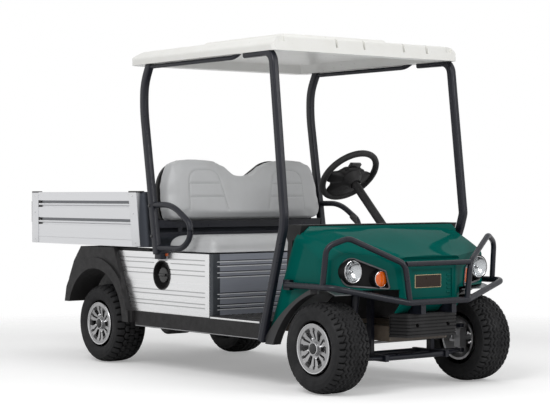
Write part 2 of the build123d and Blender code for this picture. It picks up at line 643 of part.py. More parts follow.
# Filler: a dished cup through the right side panel with its cap
CUP_DEPTH = 46.0
CUP_WALL = 6.0
CUP_RIM = 4.0
CAP_RADIUS = 44.0
CAP_LENGTH = 24.0
cup_front = -PANEL_Y - CUP_RIM
cup_back = cup_front + CUP_DEPTH
cup_floor = cup_back - CUP_WALL
cup = rod((filler_x, cup_front, filler_z), (filler_x, cup_back, filler_z), FILLER_RADIUS)
cup = cup - rod((filler_x, cup_front, filler_z), (filler_x, cup_floor, filler_z), FILLER_RADIUS - CUP_WALL)
cap = rod((filler_x, cup_back, filler_z), (filler_x, cup_floor - CAP_LENGTH, filler_z), CAP_RADIUS)
parts["filler_cap"] = fused(cup, cap)

# Seat: cushion, twin-hump back pad and the shell behind it
CUSHION_FRONT_X = HEEL_X - 2.0
CUSHION_REAR_X = HEEL_X - 448.0
CUSHION_TOP = DECK_TOP + 94.0
SEAT_HALF_WIDTH = PANEL_Y - 14.0
SEAT_ROUND = 40.0
BACK_LEAN_DEG = 9.0
BACK_X = HEEL_X - 412.0
BACK_Z = DECK_TOP + 184.0
BACK_THICKNESS = 92.0
BACK_HALF_WIDTH = PANEL_Y - 10.0
HUMP_Y = BACK_HALF_WIDTH - 240.0
SHELL_THICKNESS = 22.0
SHELL_GROWTH = 8.0
BACK_OUTLINE = (
    # half width, height above the pad's foot, corner radius
    (BACK_HALF_WIDTH, 0.0, 60.0),
    (BACK_HALF_WIDTH - 6.0, 352.0, 180.0),
    (HUMP_Y - 104.0, 352.0, 170.0),
    (62.0, 256.0, 70.0),
)
cushion = block(CUSHION_REAR_X, CUSHION_FRONT_X, -SEAT_HALF_WIDTH, SEAT_HALF_WIDTH, DECK_TOP, CUSHION_TOP)
cushion = fillet(cushion.edges().group_by(Axis.Z)[-1] + cushion.edges().filter_by(Axis.Z), SEAT_ROUND)
parts["seat_cushion"] = cushion


def back_solid(growth, front, thickness):
    """The twin-hump outline extruded backward from a distance behind the pad's face."""
    half = [(y, z, radius) for y, z, radius in BACK_OUTLINE]
    outline = half + [(-y, z, radius) for y, z, radius in reversed(half)]
    face = outline_face(outline, Plane.YZ)
    if growth:
        face = offset(face, amount=growth)
    solid = Pos(-front, 0, 0) * extrude(face, amount=thickness, dir=(-1, 0, 0))
    return Pos(BACK_X, 0, BACK_Z) * Rot(0, -BACK_LEAN_DEG, 0) * solid


parts["seat_back"] = back_solid(0.0, 0.0, BACK_THICKNESS)
parts["seat_shell"] = back_solid(SHELL_GROWTH, BACK_THICKNESS, SHELL_THICKNESS)

# Struts: the front pair along the cowl, the rear pair from the seat deck with grab rails and hip rails
STRUT_WIDTH = 38.0
STRUT_DEPTH = 46.0
STRUT_ROUND = 12.0
HIP_TUBE = 15.0
STRUT_SECTION = RectangleRounded(STRUT_WIDTH, STRUT_DEPTH, STRUT_ROUND)
STRUT_BEND = 70.0
FRONT_STRUT = from_station(DASH_X, [
    # from the dash, across, height
    (-390.0, FRONT_STRUT_Y - 16.0, CANOPY_EDGE_Z - 2.0),
    (-141.0, FRONT_STRUT_Y - 4.0, CANOPY_EDGE_Z - 2.0),
    (-44.0, FRONT_STRUT_Y, 900.0),
    (-60.0, FRONT_STRUT_Y - 6.0, 830.0),
    (-278.0, FRONT_STRUT_Y - 36.0, SILL_BOTTOM),
])
REAR_STRUT = from_station(HEEL_X, [
    # from the heel, across, height
    (-528.0, REAR_STRUT_Y, CANOPY_EDGE_Z + 4.0),
    (-588.0, REAR_STRUT_Y, CANOPY_EDGE_Z - 112.0),
    (-592.0, REAR_STRUT_Y, CANOPY_EDGE_Z - 260.0),
    (-460.0, REAR_STRUT_Y, DECK_TOP - 10.0),
])
GRAB_RAIL = from_station(HEEL_X, [
    (-540.0, REAR_STRUT_Y, CANOPY_EDGE_Z - 14.0),
    (282.0, REAR_STRUT_Y, CANOPY_EDGE_Z - 14.0),
    (360.0, REAR_STRUT_Y, CANOPY_EDGE_Z + 26.0),
])
HIP_RAIL = from_station(HEEL_X, [
    (-504.0, REAR_STRUT_Y, DECK_TOP + 268.0),
    (-312.0, REAR_STRUT_Y, DECK_TOP + 270.0),
    (-140.0, REAR_STRUT_Y, DECK_TOP + 168.0),
    (-140.0, REAR_STRUT_Y, DECK_TOP + 88.0),
    (-212.0, REAR_STRUT_Y, DECK_TOP + 22.0),
    (-464.0, REAR_STRUT_Y, DECK_TOP + 22.0),
])
HIP_BEND = 40.0
FOOT_HALF = 30.0
for name, side in SIDES.items():
    strut = tube(mirrored(FRONT_STRUT, side), STRUT_SECTION, STRUT_BEND)
    foot_x, foot_y, foot_z = FRONT_STRUT[-1]
    foot = block(foot_x - FOOT_HALF, foot_x + FOOT_HALF, SILL_Y * side, foot_y * side, SILL_BOTTOM, SILL_TOP)
    parts["front_strut_" + name] = fused(strut, foot)
    strut = tube(mirrored(REAR_STRUT, side), STRUT_SECTION, STRUT_BEND)
    grab_rail = tube(mirrored(GRAB_RAIL, side), Circle(SMALL_TUBE), HIP_BEND)
    hip_rail = tube(mirrored(HIP_RAIL, side), Circle(HIP_TUBE), HIP_BEND)
    foot_x = REAR_STRUT[-1][0]
    foot = block(foot_x - FOOT_HALF, foot_x + FOOT_HALF, PANEL_Y * side, REAR_STRUT_Y * side,
                 DECK_BOTTOM, DECK_TOP)
    parts["rear_strut_" + name] = fused(strut, grab_rail, hip_rail, foot)

# Seat frame: two bars between the rear struts, posts to the deck and brackets under the seat back
SEAT_BARS = (
    # from the heel, height, depth, width along the vehicle
    (HEEL_X - 486.0, DECK_TOP + 158.0, 44.0, 30.0),
    (HEEL_X - 478.0, DECK_TOP + 98.0, 24.0, 24.0),
)
SEAT_POST_X = HEEL_X - 482.0
BRACKET_HALF = 20.0
BRACKET_X = (HEEL_X - 524.0, HEEL_X - 476.0)
BRACKET_TOP = BACK_Z + 12.0
seat_solids = []
for bar_x, bar_z, depth, width in SEAT_BARS:
    seat_solids.append(block(bar_x - width / 2, bar_x + width / 2, -REAR_STRUT_Y, REAR_STRUT_Y,
                             bar_z - depth / 2, bar_z + depth / 2))
for side in SIDES.values():
    post_y = (SEAT_HALF_WIDTH - 116.0) * side
    post_top = SEAT_BARS[0][1]
    seat_solids.append(rod((SEAT_POST_X, post_y, DECK_TOP), (SEAT_POST_X, post_y, post_top), SMALL_TUBE))
    bracket_y = HUMP_Y * side
    seat_solids.append(block(*BRACKET_X, bracket_y - BRACKET_HALF, bracket_y + BRACKET_HALF,
                             SEAT_BARS[0][1], BRACKET_TOP))
seat_frame = fused(*seat_solids) - parts["seat_shell"] - parts["seat_back"]
for name in SIDES:
    seat_frame = seat_frame - parts["rear_strut_" + name]
parts["seat_frame"] = largest(seat_frame)

# Canopy: moulded roof with a dished underside, raised dome, side gutters and a notched front edge
CANOPY_REAR_X = HEEL_X - 712.0
CANOPY_FRONT_X = DASH_X - 102.0
ROOF_TOP = OVERALL_HEIGHT - 26.0
FASCIA_TOP = CANOPY_EDGE_Z + 78.0
FASCIA_RAKE = 22.0
canopy_profile = [
    # station, height, corner radius
    (CANOPY_REAR_X, CANOPY_EDGE_Z),
    (CANOPY_REAR_X, CANOPY_EDGE_Z + 22.0, 14.0),
    (CANOPY_REAR_X + 170.0, ROOF_TOP, 90.0),
    (CANOPY_FRONT_X - 180.0, ROOF_TOP, 300.0),
    (CANOPY_FRONT_X - FASCIA_RAKE, FASCIA_TOP, 18.0),
    (CANOPY_FRONT_X, CANOPY_EDGE_Z),
]
canopy_section = [
    # half width, height, corner radius
    (HALF_WIDTH - 6.0, CANOPY_EDGE_Z),
    (HALF_WIDTH, CANOPY_EDGE_Z + 34.0, 20.0),
    (HALF_WIDTH - 40.0, CANOPY_EDGE_Z + 74.0, 24.0),
    (HALF_WIDTH - 230.0, ROOF_TOP, 260.0),
]
canopy_section += [(-y, z, *radius) for y, z, *radius in reversed(canopy_section)]
FRONT_CORNER = 40.0
REAR_CORNER = 90.0
canopy_plan = [
    (CANOPY_REAR_X, -HALF_WIDTH, REAR_CORNER),
    (CANOPY_FRONT_X, -HALF_WIDTH, FRONT_CORNER),
    (CANOPY_FRONT_X, HALF_WIDTH, FRONT_CORNER),
    (CANOPY_REAR_X, HALF_WIDTH, REAR_CORNER),
]
canopy = side_slab(canopy_profile, -HALF_WIDTH, HALF_WIDTH)
canopy = canopy & front_slab(canopy_section, CANOPY_REAR_X, CANOPY_FRONT_X)
canopy = canopy & plan_slab(canopy_plan, CANOPY_EDGE_Z, OVERALL_HEIGHT)


def frustum(x0, x1, half_width, z0, z1, inset):
    """A flat block whose far face, at z1, is smaller all round by an inset."""
    length = x1 - x0
    middle = (x0 + x1) / 2
    base = Pos(middle, 0, z0) * Rectangle(length, 2 * half_width)
    far = Pos(middle, 0, z1) * Rectangle(length - 2 * inset, 2 * (half_width - inset))
    return loft([base, far], ruled=True)


UNDERSIDE_EDGE = 84.0
UNDERSIDE_DEPTH = 44.0
UNDERSIDE_SLOPE = 70.0
DOME_FRONT_X = CANOPY_FRONT_X - 250.0
DOME_REAR_X = CANOPY_REAR_X + 330.0
DOME_HALF_WIDTH = 400.0
DOME_SLOPE = 46.0
GUTTER_FRONT_X = CANOPY_FRONT_X - 60.0
GUTTER_REAR_X = CANOPY_FRONT_X - 430.0
GUTTER_Y = HALF_WIDTH - 36.0
GUTTER_RADIUS = 12.0
GUTTER_Z = CANOPY_EDGE_Z + 82.0
OUTLET_Y = HALF_WIDTH - 84.0
OUTLET_WIDTH = 44.0
OUTLET_DEPTH = 26.0
OUTLET_DROP = 32.0
NOTCHES = (-229.0, -37.0, 248.0, 418.0)
NOTCH_WIDTH = 16.0
NOTCH_DEPTH = 9.0
NOTCH_BOTTOM = CANOPY_EDGE_Z + 30.0
NOTCH_BACK_X = CANOPY_FRONT_X - FASCIA_RAKE - NOTCH_DEPTH
canopy = fused(canopy, frustum(DOME_REAR_X, DOME_FRONT_X, DOME_HALF_WIDTH, ROOF_TOP - DOME_SLOPE / 2,
                               OVERALL_HEIGHT, DOME_SLOPE))
canopy = canopy - frustum(CANOPY_REAR_X + UNDERSIDE_EDGE, CANOPY_FRONT_X - UNDERSIDE_EDGE,
                          HALF_WIDTH - UNDERSIDE_EDGE, CANOPY_EDGE_Z, CANOPY_EDGE_Z + UNDERSIDE_DEPTH,
                          UNDERSIDE_SLOPE)
for side in SIDES.values():
    gutter_y = GUTTER_Y * side
    canopy = canopy - rod((GUTTER_REAR_X, gutter_y, GUTTER_Z), (GUTTER_FRONT_X, gutter_y, GUTTER_Z),
                          GUTTER_RADIUS)
    canopy = canopy - block(CANOPY_FRONT_X - OUTLET_DEPTH, CANOPY_FRONT_X, OUTLET_Y * side,
                            (OUTLET_Y + OUTLET_WIDTH) * side, FASCIA_TOP - OUTLET_DROP, OVERALL_HEIGHT)
for notch_y in NOTCHES:
    canopy = canopy - block(NOTCH_BACK_X, CANOPY_FRONT_X, notch_y, notch_y + NOTCH_WIDTH,
                            NOTCH_BOTTOM, FASCIA_TOP + NOTCH_DEPTH)
for name in SIDES:
    canopy = canopy - parts["front_strut_" + name] - parts["rear_strut_" + name]
parts["canopy"] = largest(canopy)

# Cowl: a lofted shell with creased shoulders, a lipped hood, a swept nose and open wheel arches
COWL_WALL = 10.0
NOSE_X = HALF_LENGTH - 66.0
NOSE_HALF_WIDTH = 168.0
NOSE_CORNER_X = NOSE_X - 143.0
NOSE_CORNER_Y = COWL_HALF_WIDTH - 70.0
NOSE_SWEEP = (NOSE_X - NOSE_CORNER_X) / (NOSE_CORNER_Y - NOSE_HALF_WIDTH)
NOSE_SIDE_X = NOSE_CORNER_X - NOSE_SWEEP * (COWL_HALF_WIDTH - NOSE_CORNER_Y)
NOSE_CORNER_ROUND = 130.0
NOSE_FRONT_ROUND = 60.0
CHIN_HALF_WIDTH = 205.0
CHIN_BOTTOM = 404.0
COWL_SIDE_BOTTOM = 526.0
COWL_FLOOR = 240.0
LIP_Z = 690.0
RECESS_HALF_WIDTH = 140.0
RECESS_BOTTOM = 478.0
RECESS_TOP = 626.0
RECESS_DEPTH = 6.0
SHOULDER_ROUND = 46.0
CREASE_ROUND = 26.0
HOOD_ROUND = 60.0
CROWN_ROUND = 900.0
COWL_SECTIONS = (
    # behind the nose, shoulder height, crease inset, crease height, hood edge, hood height, crown height
    (700.0, 900.0, 36.0, 940.0, 420.0, 956.0, 962.0),
    (384.0, 770.0, 30.0, 810.0, 400.0, 828.0, 838.0),
    (234.0, 692.0, 58.0, 752.0, 330.0, 782.0, 794.0),
    (127.0, 606.0, 80.0, 706.0, 250.0, 738.0, 748.0),
    (-10.0, 540.0, 120.0, 645.0, 165.0, 686.0, 694.0),
)


def cowl_section(row, inset):
    behind, shoulder, crease_inset, crease, hood_y, hood, crown = row
    side_y = COWL_HALF_WIDTH - inset
    crease_y = COWL_HALF_WIDTH - crease_inset - inset
    right_side = [
        (-side_y, COWL_FLOOR),
        (-side_y, shoulder, SHOULDER_ROUND),
        (-crease_y, crease - inset, CREASE_ROUND),
        (-hood_y, hood - inset, HOOD_ROUND),
    ]
    left_side = [(-y, *rest) for y, *rest in reversed(right_side)]
    outline = right_side + [(0.0, crown - inset, CROWN_ROUND)] + left_side
    return outline_face(outline, Plane(origin=(NOSE_X - behind, 0, 0), x_dir=(0, 1, 0), z_dir=(1, 0, 0)))


def cowl_solid(inset):
    body = loft([cowl_section(row, inset) for row in COWL_SECTIONS])
    rear_x = NOSE_X - COWL_SECTIONS[0][0]
    front_x = NOSE_X - inset
    half_plan = [
        (rear_x, COWL_HALF_WIDTH - inset),
        (NOSE_SIDE_X - inset, COWL_HALF_WIDTH - inset, NOSE_CORNER_ROUND),
        (front_x, NOSE_HALF_WIDTH, NOSE_FRONT_ROUND),
    ]
    plan = half_plan + [(px, -py, *radius) for px, py, *radius in reversed(half_plan)]
    profile = [
        (rear_x, COWL_FLOOR),
        (rear_x, OVERALL_HEIGHT),
        (front_x - 30.0, OVERALL_HEIGHT),
        (front_x - 6.0, LIP_Z),
        (front_x - 20.0, LIP_Z - 14.0),
        (front_x, RECESS_TOP + 24.0),
        (front_x, RECESS_BOTTOM - 16.0),
        (front_x - 64.0, CHIN_BOTTOM - 10.0),
        (front_x - 64.0, COWL_FLOOR),
    ]
    return body & plan_slab(plan, 0, OVERALL_HEIGHT) & side_slab(profile, -HALF_WIDTH, HALF_WIDTH)


ARCH_LINE = from_station(FRONT_AXLE_X, [
    # from the front axle, height: the top, middle and foot of the cowl's arch edge
    (-15.0, COWL_SIDE_BOTTOM),
    (-202.0, 429.0),
    (-388.0, 260.0),
])


def arch_slabs(line, rise, inner, outer):
    """What lies below an arch line in side view, between two distances from the middle, for each side."""
    top, middle, foot = [(x, z + rise) for x, z in line]
    border = Polyline(top, (HALF_LENGTH, top[1]), (HALF_LENGTH, 0), (foot[0], 0), foot)
    region = Plane.XZ * make_face([ThreePointArc(foot, middle, top), border])
    slab = extrude(region, amount=outer - inner, dir=(0, 1, 0))
    return [Pos(0, min(inner * side, outer * side), 0) * slab for side in SIDES.values()]


COWL_REAR_TOP = (DASH_X - 14.0, 870.0)
COWL_REAR_LOW = (DASH_X - 262.0, 290.0)
rear_cut = [
    COWL_REAR_TOP,
    COWL_REAR_LOW,
    (COWL_REAR_LOW[0], 0.0),
    (COWL_REAR_LOW[0] - LEG_ROOM, 0.0),
    (COWL_REAR_LOW[0] - LEG_ROOM, OVERALL_HEIGHT),
    (COWL_REAR_TOP[0], OVERALL_HEIGHT),
]
cowl = cowl_solid(0.0) - cowl_solid(COWL_WALL)
cowl = cowl - side_slab(rear_cut, -HALF_WIDTH, HALF_WIDTH)
for slab in arch_slabs(ARCH_LINE, 0.0, CHIN_HALF_WIDTH, HALF_WIDTH):
    cowl = cowl - slab
cowl = cowl - block(0, HALF_LENGTH, -CHIN_HALF_WIDTH, CHIN_HALF_WIDTH, 0, CHIN_BOTTOM)
cowl = cowl - block(NOSE_X - RECESS_DEPTH, HALF_LENGTH, -RECESS_HALF_WIDTH, RECESS_HALF_WIDTH,
                    RECESS_BOTTOM, RECESS_TOP)

# Lamps: a bezel let into each swept face of the nose, with a headlamp and a turn lamp that face forward
BEZEL_OUTLINE = (
    # outward along the swept face, up, corner radius, from the headlamp's centre
    (58.0, 96.0, 58.0),
    (58.0, -72.0, 55.0),
    (-206.0, -94.0, 12.0),
    (-182.0, 4.0, 16.0),
)
BEZEL_PROUD = 5.0
BEZEL_BACK = 26.0
BEZEL_RIM = 8.0
BEZEL_POCKET = 15.0
LAMP_PODS = (
    # across, height, lens radius, front of the lens behind the nose
    (NOSE_CORNER_Y - 49.0, 620.0, 57.0, 108.0),
    (NOSE_CORNER_Y - 192.0, 581.0, 42.0, 57.0),
)
POD_WALL = 6.0
LENS_DEPTH = 22.0
LENS_ROUND = 6.0
POD_LENGTH = 70.0
bezels = []
lenses = []
sweep_run = NOSE_CORNER_X - NOSE_X
sweep_rise = NOSE_CORNER_Y - NOSE_HALF_WIDTH
for side in SIDES.values():
    lamp_y = LAMP_PODS[0][0]
    share = (lamp_y - NOSE_HALF_WIDTH) / sweep_rise
    centre = (NOSE_X + sweep_run * share, lamp_y * side, LAMP_PODS[0][1])
    outward = Vector(sweep_run, sweep_rise * side, 0).normalized()
    normal = Vector(sweep_rise, -sweep_run * side, 0).normalized()
    face_plane = Plane(origin=centre, x_dir=outward, z_dir=normal)
    upright = 1 if face_plane.y_dir.Z > 0 else -1
    face = outline_face([(u, v * upright, radius) for u, v, radius in BEZEL_OUTLINE])
    frame = extrude(face, amount=BEZEL_BACK + BEZEL_PROUD, dir=(0, 0, 1))
    frame = face_plane * Pos(0, 0, -BEZEL_BACK) * frame
    opening = offset(face, amount=-BEZEL_RIM)
    pocket = extrude(opening, amount=BEZEL_POCKET + BEZEL_PROUD, dir=(0, 0, 1))
    pocket = face_plane * Pos(0, 0, -BEZEL_POCKET) * pocket
    bezel = frame - pocket
    behind = extrude(Circle(OVERALL_HEIGHT), amount=POD_LENGTH)
    behind = face_plane * Pos(0, 0, -BEZEL_BACK - POD_LENGTH) * behind
    for across, height, radius, setback in LAMP_PODS:
        front = (NOSE_X - setback, across * side, height)
        back = (NOSE_X - setback - POD_LENGTH, across * side, height)
        lens_back = (NOSE_X - setback - LENS_DEPTH, across * side, height)
        bezel = fused(bezel, rod(back, front, radius + POD_WALL) - behind)
    for across, height, radius, setback in LAMP_PODS:
        front = (NOSE_X - setback, across * side, height)
        lens_back = (NOSE_X - setback - LENS_DEPTH, across * side, height)
        seat = rod(lens_back, front, radius)
        bezel = bezel - seat
        lenses.append(fillet(seat.edges().sort_by(Axis.X)[-1], LENS_ROUND) - behind)
    bezels.append(largest(bezel))
    cowl = cowl - frame - bezels[-1]
parts["lamp_bezels"] = Compound(bezels)
parts["lamps"] = Compound([largest(lens) for lens in lenses])
parts["cowl"] = largest(cowl)

# Wheel arches: black trim along the cowl's lower edge and a liner over each front wheel
TRIM_OUTER_Y = COWL_HALF_WIDTH + 38.0
TRIM_INNER_Y = COWL_HALF_WIDTH - 14.0
TRIM_OVERLAP = 5.0
TRIM_LINE = from_station(FRONT_AXLE_X, [
    # from the front axle, height: the trim's own lower edge
    (-15.0, 506.0),
    (-206.0, 396.0),
    (-322.0, 236.0),
])
LINER_RADIUS = 294.0
LINER_WALL = 4.0
LINER_INNER_Y = COWL_HALF_WIDTH - 230.0
LINER_OUTER_Y = COWL_HALF_WIDTH - COWL_WALL
LINER_SPAN_DEG = (66.0, 148.0)
trims = []
upper_slabs = arch_slabs(ARCH_LINE, TRIM_OVERLAP, TRIM_INNER_Y, TRIM_OUTER_Y)
lower_slabs = arch_slabs(TRIM_LINE, 0.0, TRIM_INNER_Y, TRIM_OUTER_Y)
ahead = block(ARCH_LINE[0][0], HALF_LENGTH, -HALF_WIDTH, HALF_WIDTH, 0, OVERALL_HEIGHT)
low_end = block(0, HALF_LENGTH, -HALF_WIDTH, HALF_WIDTH, 0, SILL_BOTTOM - FOOT_HALF / 2)
for (name, side), upper, lower in zip(SIDES.items(), upper_slabs, lower_slabs):
    trim = upper - lower - ahead - low_end - side_slab(rear_cut, -HALF_WIDTH, HALF_WIDTH)
    trim = trim - parts["cowl"] - parts["front_strut_" + name] - parts["floor_pan"]
    liner_start = min(LINER_INNER_Y * side, LINER_OUTER_Y * side)
    ring = Circle(LINER_RADIUS + LINER_WALL) - Circle(LINER_RADIUS)
    reach = 2 * LINER_RADIUS
    wedge = [(0.0, 0.0)]
    wedge += [(reach * math.cos(math.radians(a)), reach * math.sin(math.radians(a))) for a in LINER_SPAN_DEG]
    liner_face = Plane.XZ * (ring & outline_face(wedge))
    liner = extrude(liner_face, amount=LINER_OUTER_Y - LINER_INNER_Y, dir=(0, 1, 0))
    liner = Pos(FRONT_AXLE_X, liner_start, AXLE_HEIGHT) * liner - parts["cowl"]
    trims.append(fused(largest(trim), largest(liner)))
parts["wheel_arches"] = Compound(trims)

# Dash: a panel under the cowl's rear edge with a rolled top
DASH_HALF_WIDTH = COWL_HALF_WIDTH - 14.0
DASH_TOP = 852.0
dash_outline = from_station(DASH_X, [
    # from the dash station, height, corner radius
    (-150.0, DASH_TOP - 34.0, 10.0),
    (-126.0, DASH_TOP, 14.0),
    (-8.0, DASH_TOP),
    (-30.0, DASH_TOP - 60.0),
    (-86.0, DASH_TOP - 82.0),
    (-114.0, TOE_TOP_Z + 15.0),
    (-142.0, TOE_TOP_Z),
    (-124.0, DASH_TOP - 92.0),
])
dash = side_slab(dash_outline, -DASH_HALF_WIDTH, DASH_HALF_WIDTH) - parts["cowl"]

# Steering column and wheel along one tilted line
COLUMN_TILT_DEG = 44.5
WHEEL_CENTRE = (DASH_X - 640.0, 310.0, 1116.0)
STEERING_WHEEL_RADIUS = 172.0
GRIP_RADIUS = 15.0
COLUMN_RADIUS = 24.0
COLUMN_LENGTH = 700.0
COLUMN_START = 46.0
STEERING_SHAFT_RADIUS = 9.0
column_down = (math.cos(math.radians(COLUMN_TILT_DEG)), 0, -math.sin(math.radians(COLUMN_TILT_DEG)))
column_plane = Plane(origin=WHEEL_CENTRE, x_dir=(0, 1, 0), z_dir=column_down)
from_wheel = (Align.CENTER, Align.CENTER, Align.MIN)
column = column_plane * Pos(0, 0, COLUMN_START) * Cylinder(COLUMN_RADIUS, COLUMN_LENGTH, align=from_wheel)
shaft_bore = column_plane * Cylinder(STEERING_SHAFT_RADIUS + RUNNING_FIT, 4 * COLUMN_START)
parts["dash"] = largest(dash - column)
column = column - shaft_bore - parts["front_suspension"] - parts["floor_pan"] - parts["cowl"]
parts["steering_column"] = largest(column)

HUB_PAD = (150.0, 112.0, 26.0)
HUB_PAD_ROUND = 30.0
BOSS_RADIUS = 34.0
SPOKE_ANGLES_DEG = (-6.0, 186.0, 270.0)
SPOKE_WIDTH = 38.0
SPOKE_THICKNESS = 12.0
grip = Torus(STEERING_WHEEL_RADIUS, GRIP_RADIUS)
hub_pad = Box(*HUB_PAD)
hub_pad = fillet(hub_pad.edges().filter_by(Axis.Z), HUB_PAD_ROUND)
boss = Cylinder(BOSS_RADIUS, COLUMN_START - MOVING_GAP, align=from_wheel)
shaft = Cylinder(STEERING_SHAFT_RADIUS, 2 * COLUMN_START - PANEL_GAP, align=from_wheel)
spokes = []
for angle in SPOKE_ANGLES_DEG:
    spoke = Pos(STEERING_WHEEL_RADIUS / 2, 0, 0) * Box(STEERING_WHEEL_RADIUS, SPOKE_WIDTH, SPOKE_THICKNESS)
    spokes.append(Rot(0, 0, angle) * spoke)
parts["steering_wheel"] = column_plane * fused(grip, hub_pad, boss, shaft, *spokes)

# Pedals on one bar under the dash
PEDALS = (
    # across, width
    (190.0, 90.0),
    (330.0, 60.0),
)
PEDAL_X = DASH_X - 196.0
PEDAL_Z = 470.0
PEDAL_HEIGHT = 90.0
PEDAL_THICKNESS = 12.0
PEDAL_TILT_DEG = 30.0
PEDAL_BAR_X = DASH_X - 122.0
PEDAL_BAR_Z = 590.0
bar_ends = [(PEDAL_BAR_X, pedal_y, PEDAL_BAR_Z) for pedal_y, pedal_width in PEDALS]
pedal_solids = [rod(*bar_ends, TIE_ROD_RADIUS)]
for pedal_y, pedal_width in PEDALS:
    pad_place = Pos(PEDAL_X, pedal_y, PEDAL_Z) * Rot(0, -PEDAL_TILT_DEG, 0)
    pedal_solids.append(pad_place * Box(PEDAL_THICKNESS, pedal_width, PEDAL_HEIGHT))
    pedal_solids.append(rod((PEDAL_X, pedal_y, PEDAL_Z), (PEDAL_BAR_X, pedal_y, PEDAL_BAR_Z), TIE_ROD_RADIUS))
pedals = fused(*pedal_solids) - parts["dash"] - parts["floor_pan"] - parts["steering_column"]
parts["pedals"] = largest(pedals)

# Front bumper: a ribbed block that wraps back to the rails' front ends
BUMPER_X = HALF_LENGTH - 60.0
BUMPER_HALF_WIDTH = 168.0
BUMPER_REAR_HALF_WIDTH = 204.0
BUMPER_SIDE_X = BUMPER_X - 96.0
BUMPER_BOTTOM = 280.0
BUMPER_TOP = 400.0
BUMPER_RIBS = 7
BUMPER_RIB_DEPTH = 6.0
BUMPER_ROUND = 16.0
BUMPER_HOLE_Y = 107.0
BUMPER_HOLE_Z = (BUMPER_BOTTOM + BUMPER_TOP) / 2
BUMPER_HOLE_RADIUS = 11.0


def bumper_layer(inset, z0, z1):
    half = [
        (RAIL_FRONT_X, BUMPER_REAR_HALF_WIDTH - inset),
        (BUMPER_SIDE_X, BUMPER_REAR_HALF_WIDTH - inset),
        (BUMPER_X - inset, BUMPER_HALF_WIDTH - inset, BUMPER_ROUND),
    ]
    return plan_slab(half + [(px, -py, *radius) for px, py, *radius in reversed(half)], z0, z1)


bumper = bumper_layer(BUMPER_RIB_DEPTH, BUMPER_BOTTOM, BUMPER_TOP)
rib_step = (BUMPER_TOP - BUMPER_BOTTOM) / BUMPER_RIBS
for index in range(BUMPER_RIBS):
    rib_bottom = BUMPER_BOTTOM + rib_step * index
    bumper = fused(bumper, bumper_layer(0.0, rib_bottom, rib_bottom + rib_step - RIB_GROOVE))
for side in SIDES.values():
    hole_y = BUMPER_HOLE_Y * side
    bumper = bumper - rod((RAIL_FRONT_X, hole_y, BUMPER_HOLE_Z), (BUMPER_X, hole_y, BUMPER_HOLE_Z),
                          BUMPER_HOLE_RADIUS)
parts["front_bumper"] = bumper

# Brush guard: a lower rail, two side hoops, a cross bar and two stays to the bumper
GUARD_X = HALF_LENGTH - TUBE
GUARD_BEND = 62.0
GUARD_OUTER_Y = COWL_HALF_WIDTH + 38.0
GUARD_LOW = 462.0
GUARD_HIGH = 657.0
GUARD_FRONT_Y = 206.0
HOOP_TUBE = TUBE - 1.5
CROSS_BAR_X = GUARD_X - 2.0
CROSS_BAR_RADIUS = SMALL_TUBE + 1.0
LOWER_RAIL = from_station(HALF_LENGTH, [
    # from the guard's front, across, height
    (-530.0, GUARD_OUTER_Y - 10.0, 545.0),
    (-152.0, GUARD_OUTER_Y, 545.0),
    (-TUBE, GUARD_FRONT_Y, GUARD_LOW),
])
HOOP = from_station(HALF_LENGTH, [
    (-228.0, GUARD_OUTER_Y - 2.0, 545.0),
    (-206.0, GUARD_OUTER_Y - 10.0, 748.0),
    (-152.0, GUARD_OUTER_Y - 108.0, 790.0),
    (-TUBE - 4.0, GUARD_FRONT_Y + 22.0, GUARD_HIGH),
    (-TUBE, GUARD_FRONT_Y - 6.0, GUARD_LOW),
])
GUARD_PLATE_HALF = 26.0
STAY_HALF = 16.0
guard_solids = [tube(mirrored(LOWER_RAIL, 1) + mirrored(LOWER_RAIL, -1)[::-1], Circle(TUBE), GUARD_BEND)]
cross_y = GUARD_FRONT_Y + 18.0
cross_ends = [(CROSS_BAR_X, end_y, GUARD_HIGH) for end_y in (-cross_y, cross_y)]
guard_solids.append(rod(*cross_ends, CROSS_BAR_RADIUS))
for side in SIDES.values():
    guard_solids.append(tube(mirrored(HOOP, side), Circle(HOOP_TUBE), GUARD_BEND))
    plate_x, plate_y, plate_z = LOWER_RAIL[0]
    plate_span = (COWL_HALF_WIDTH * side, plate_y * side)
    guard_solids.append(block(plate_x - GUARD_PLATE_HALF, plate_x + GUARD_PLATE_HALF, *plate_span,
                              plate_z - GUARD_PLATE_HALF, plate_z + GUARD_PLATE_HALF))
    stay_y = BUMPER_HOLE_Y * side
    guard_solids.append(block(BUMPER_SIDE_X + STAY_HALF, GUARD_X, stay_y - STAY_HALF, stay_y + STAY_HALF,
                              BUMPER_TOP, GUARD_LOW))
guard = fused(*guard_solids)
parts["brush_guard"] = largest(guard - parts["cowl"] - parts["wheel_arches"])

# Cargo bed: a hollow box with rounded front corners, grooved walls and rear hinge lugs
BED_HALF_WIDTH = 590.0
BED_REAR_X = -HALF_LENGTH
BED_FRONT_X = HEEL_X - 616.0
BED_LEAN = 40.0
BED_HEIGHT = 320.0
BED_TOP = BED_BOTTOM + BED_HEIGHT
BED_WALL = 28.0
BED_FLOOR = 30.0
BED_CORNER = 62.0
BED_GROOVES = ((226.0, 42.0), (118.0, 44.0))
GROOVE_DEPTH = 8.0
GROOVE_REAR_GAP = 40.0
GROOVE_FRONT_GAP = 150.0
LUG_PLATE = 18.0
LUG_HALF = 30.0


def bed_plan(front_x, height):
    outline = [
        (BED_REAR_X, -BED_HALF_WIDTH),
        (front_x, -BED_HALF_WIDTH, BED_CORNER),
        (front_x, BED_HALF_WIDTH, BED_CORNER),
        (BED_REAR_X, BED_HALF_WIDTH),
    ]
    return Pos(0, 0, height) * outline_face(outline)


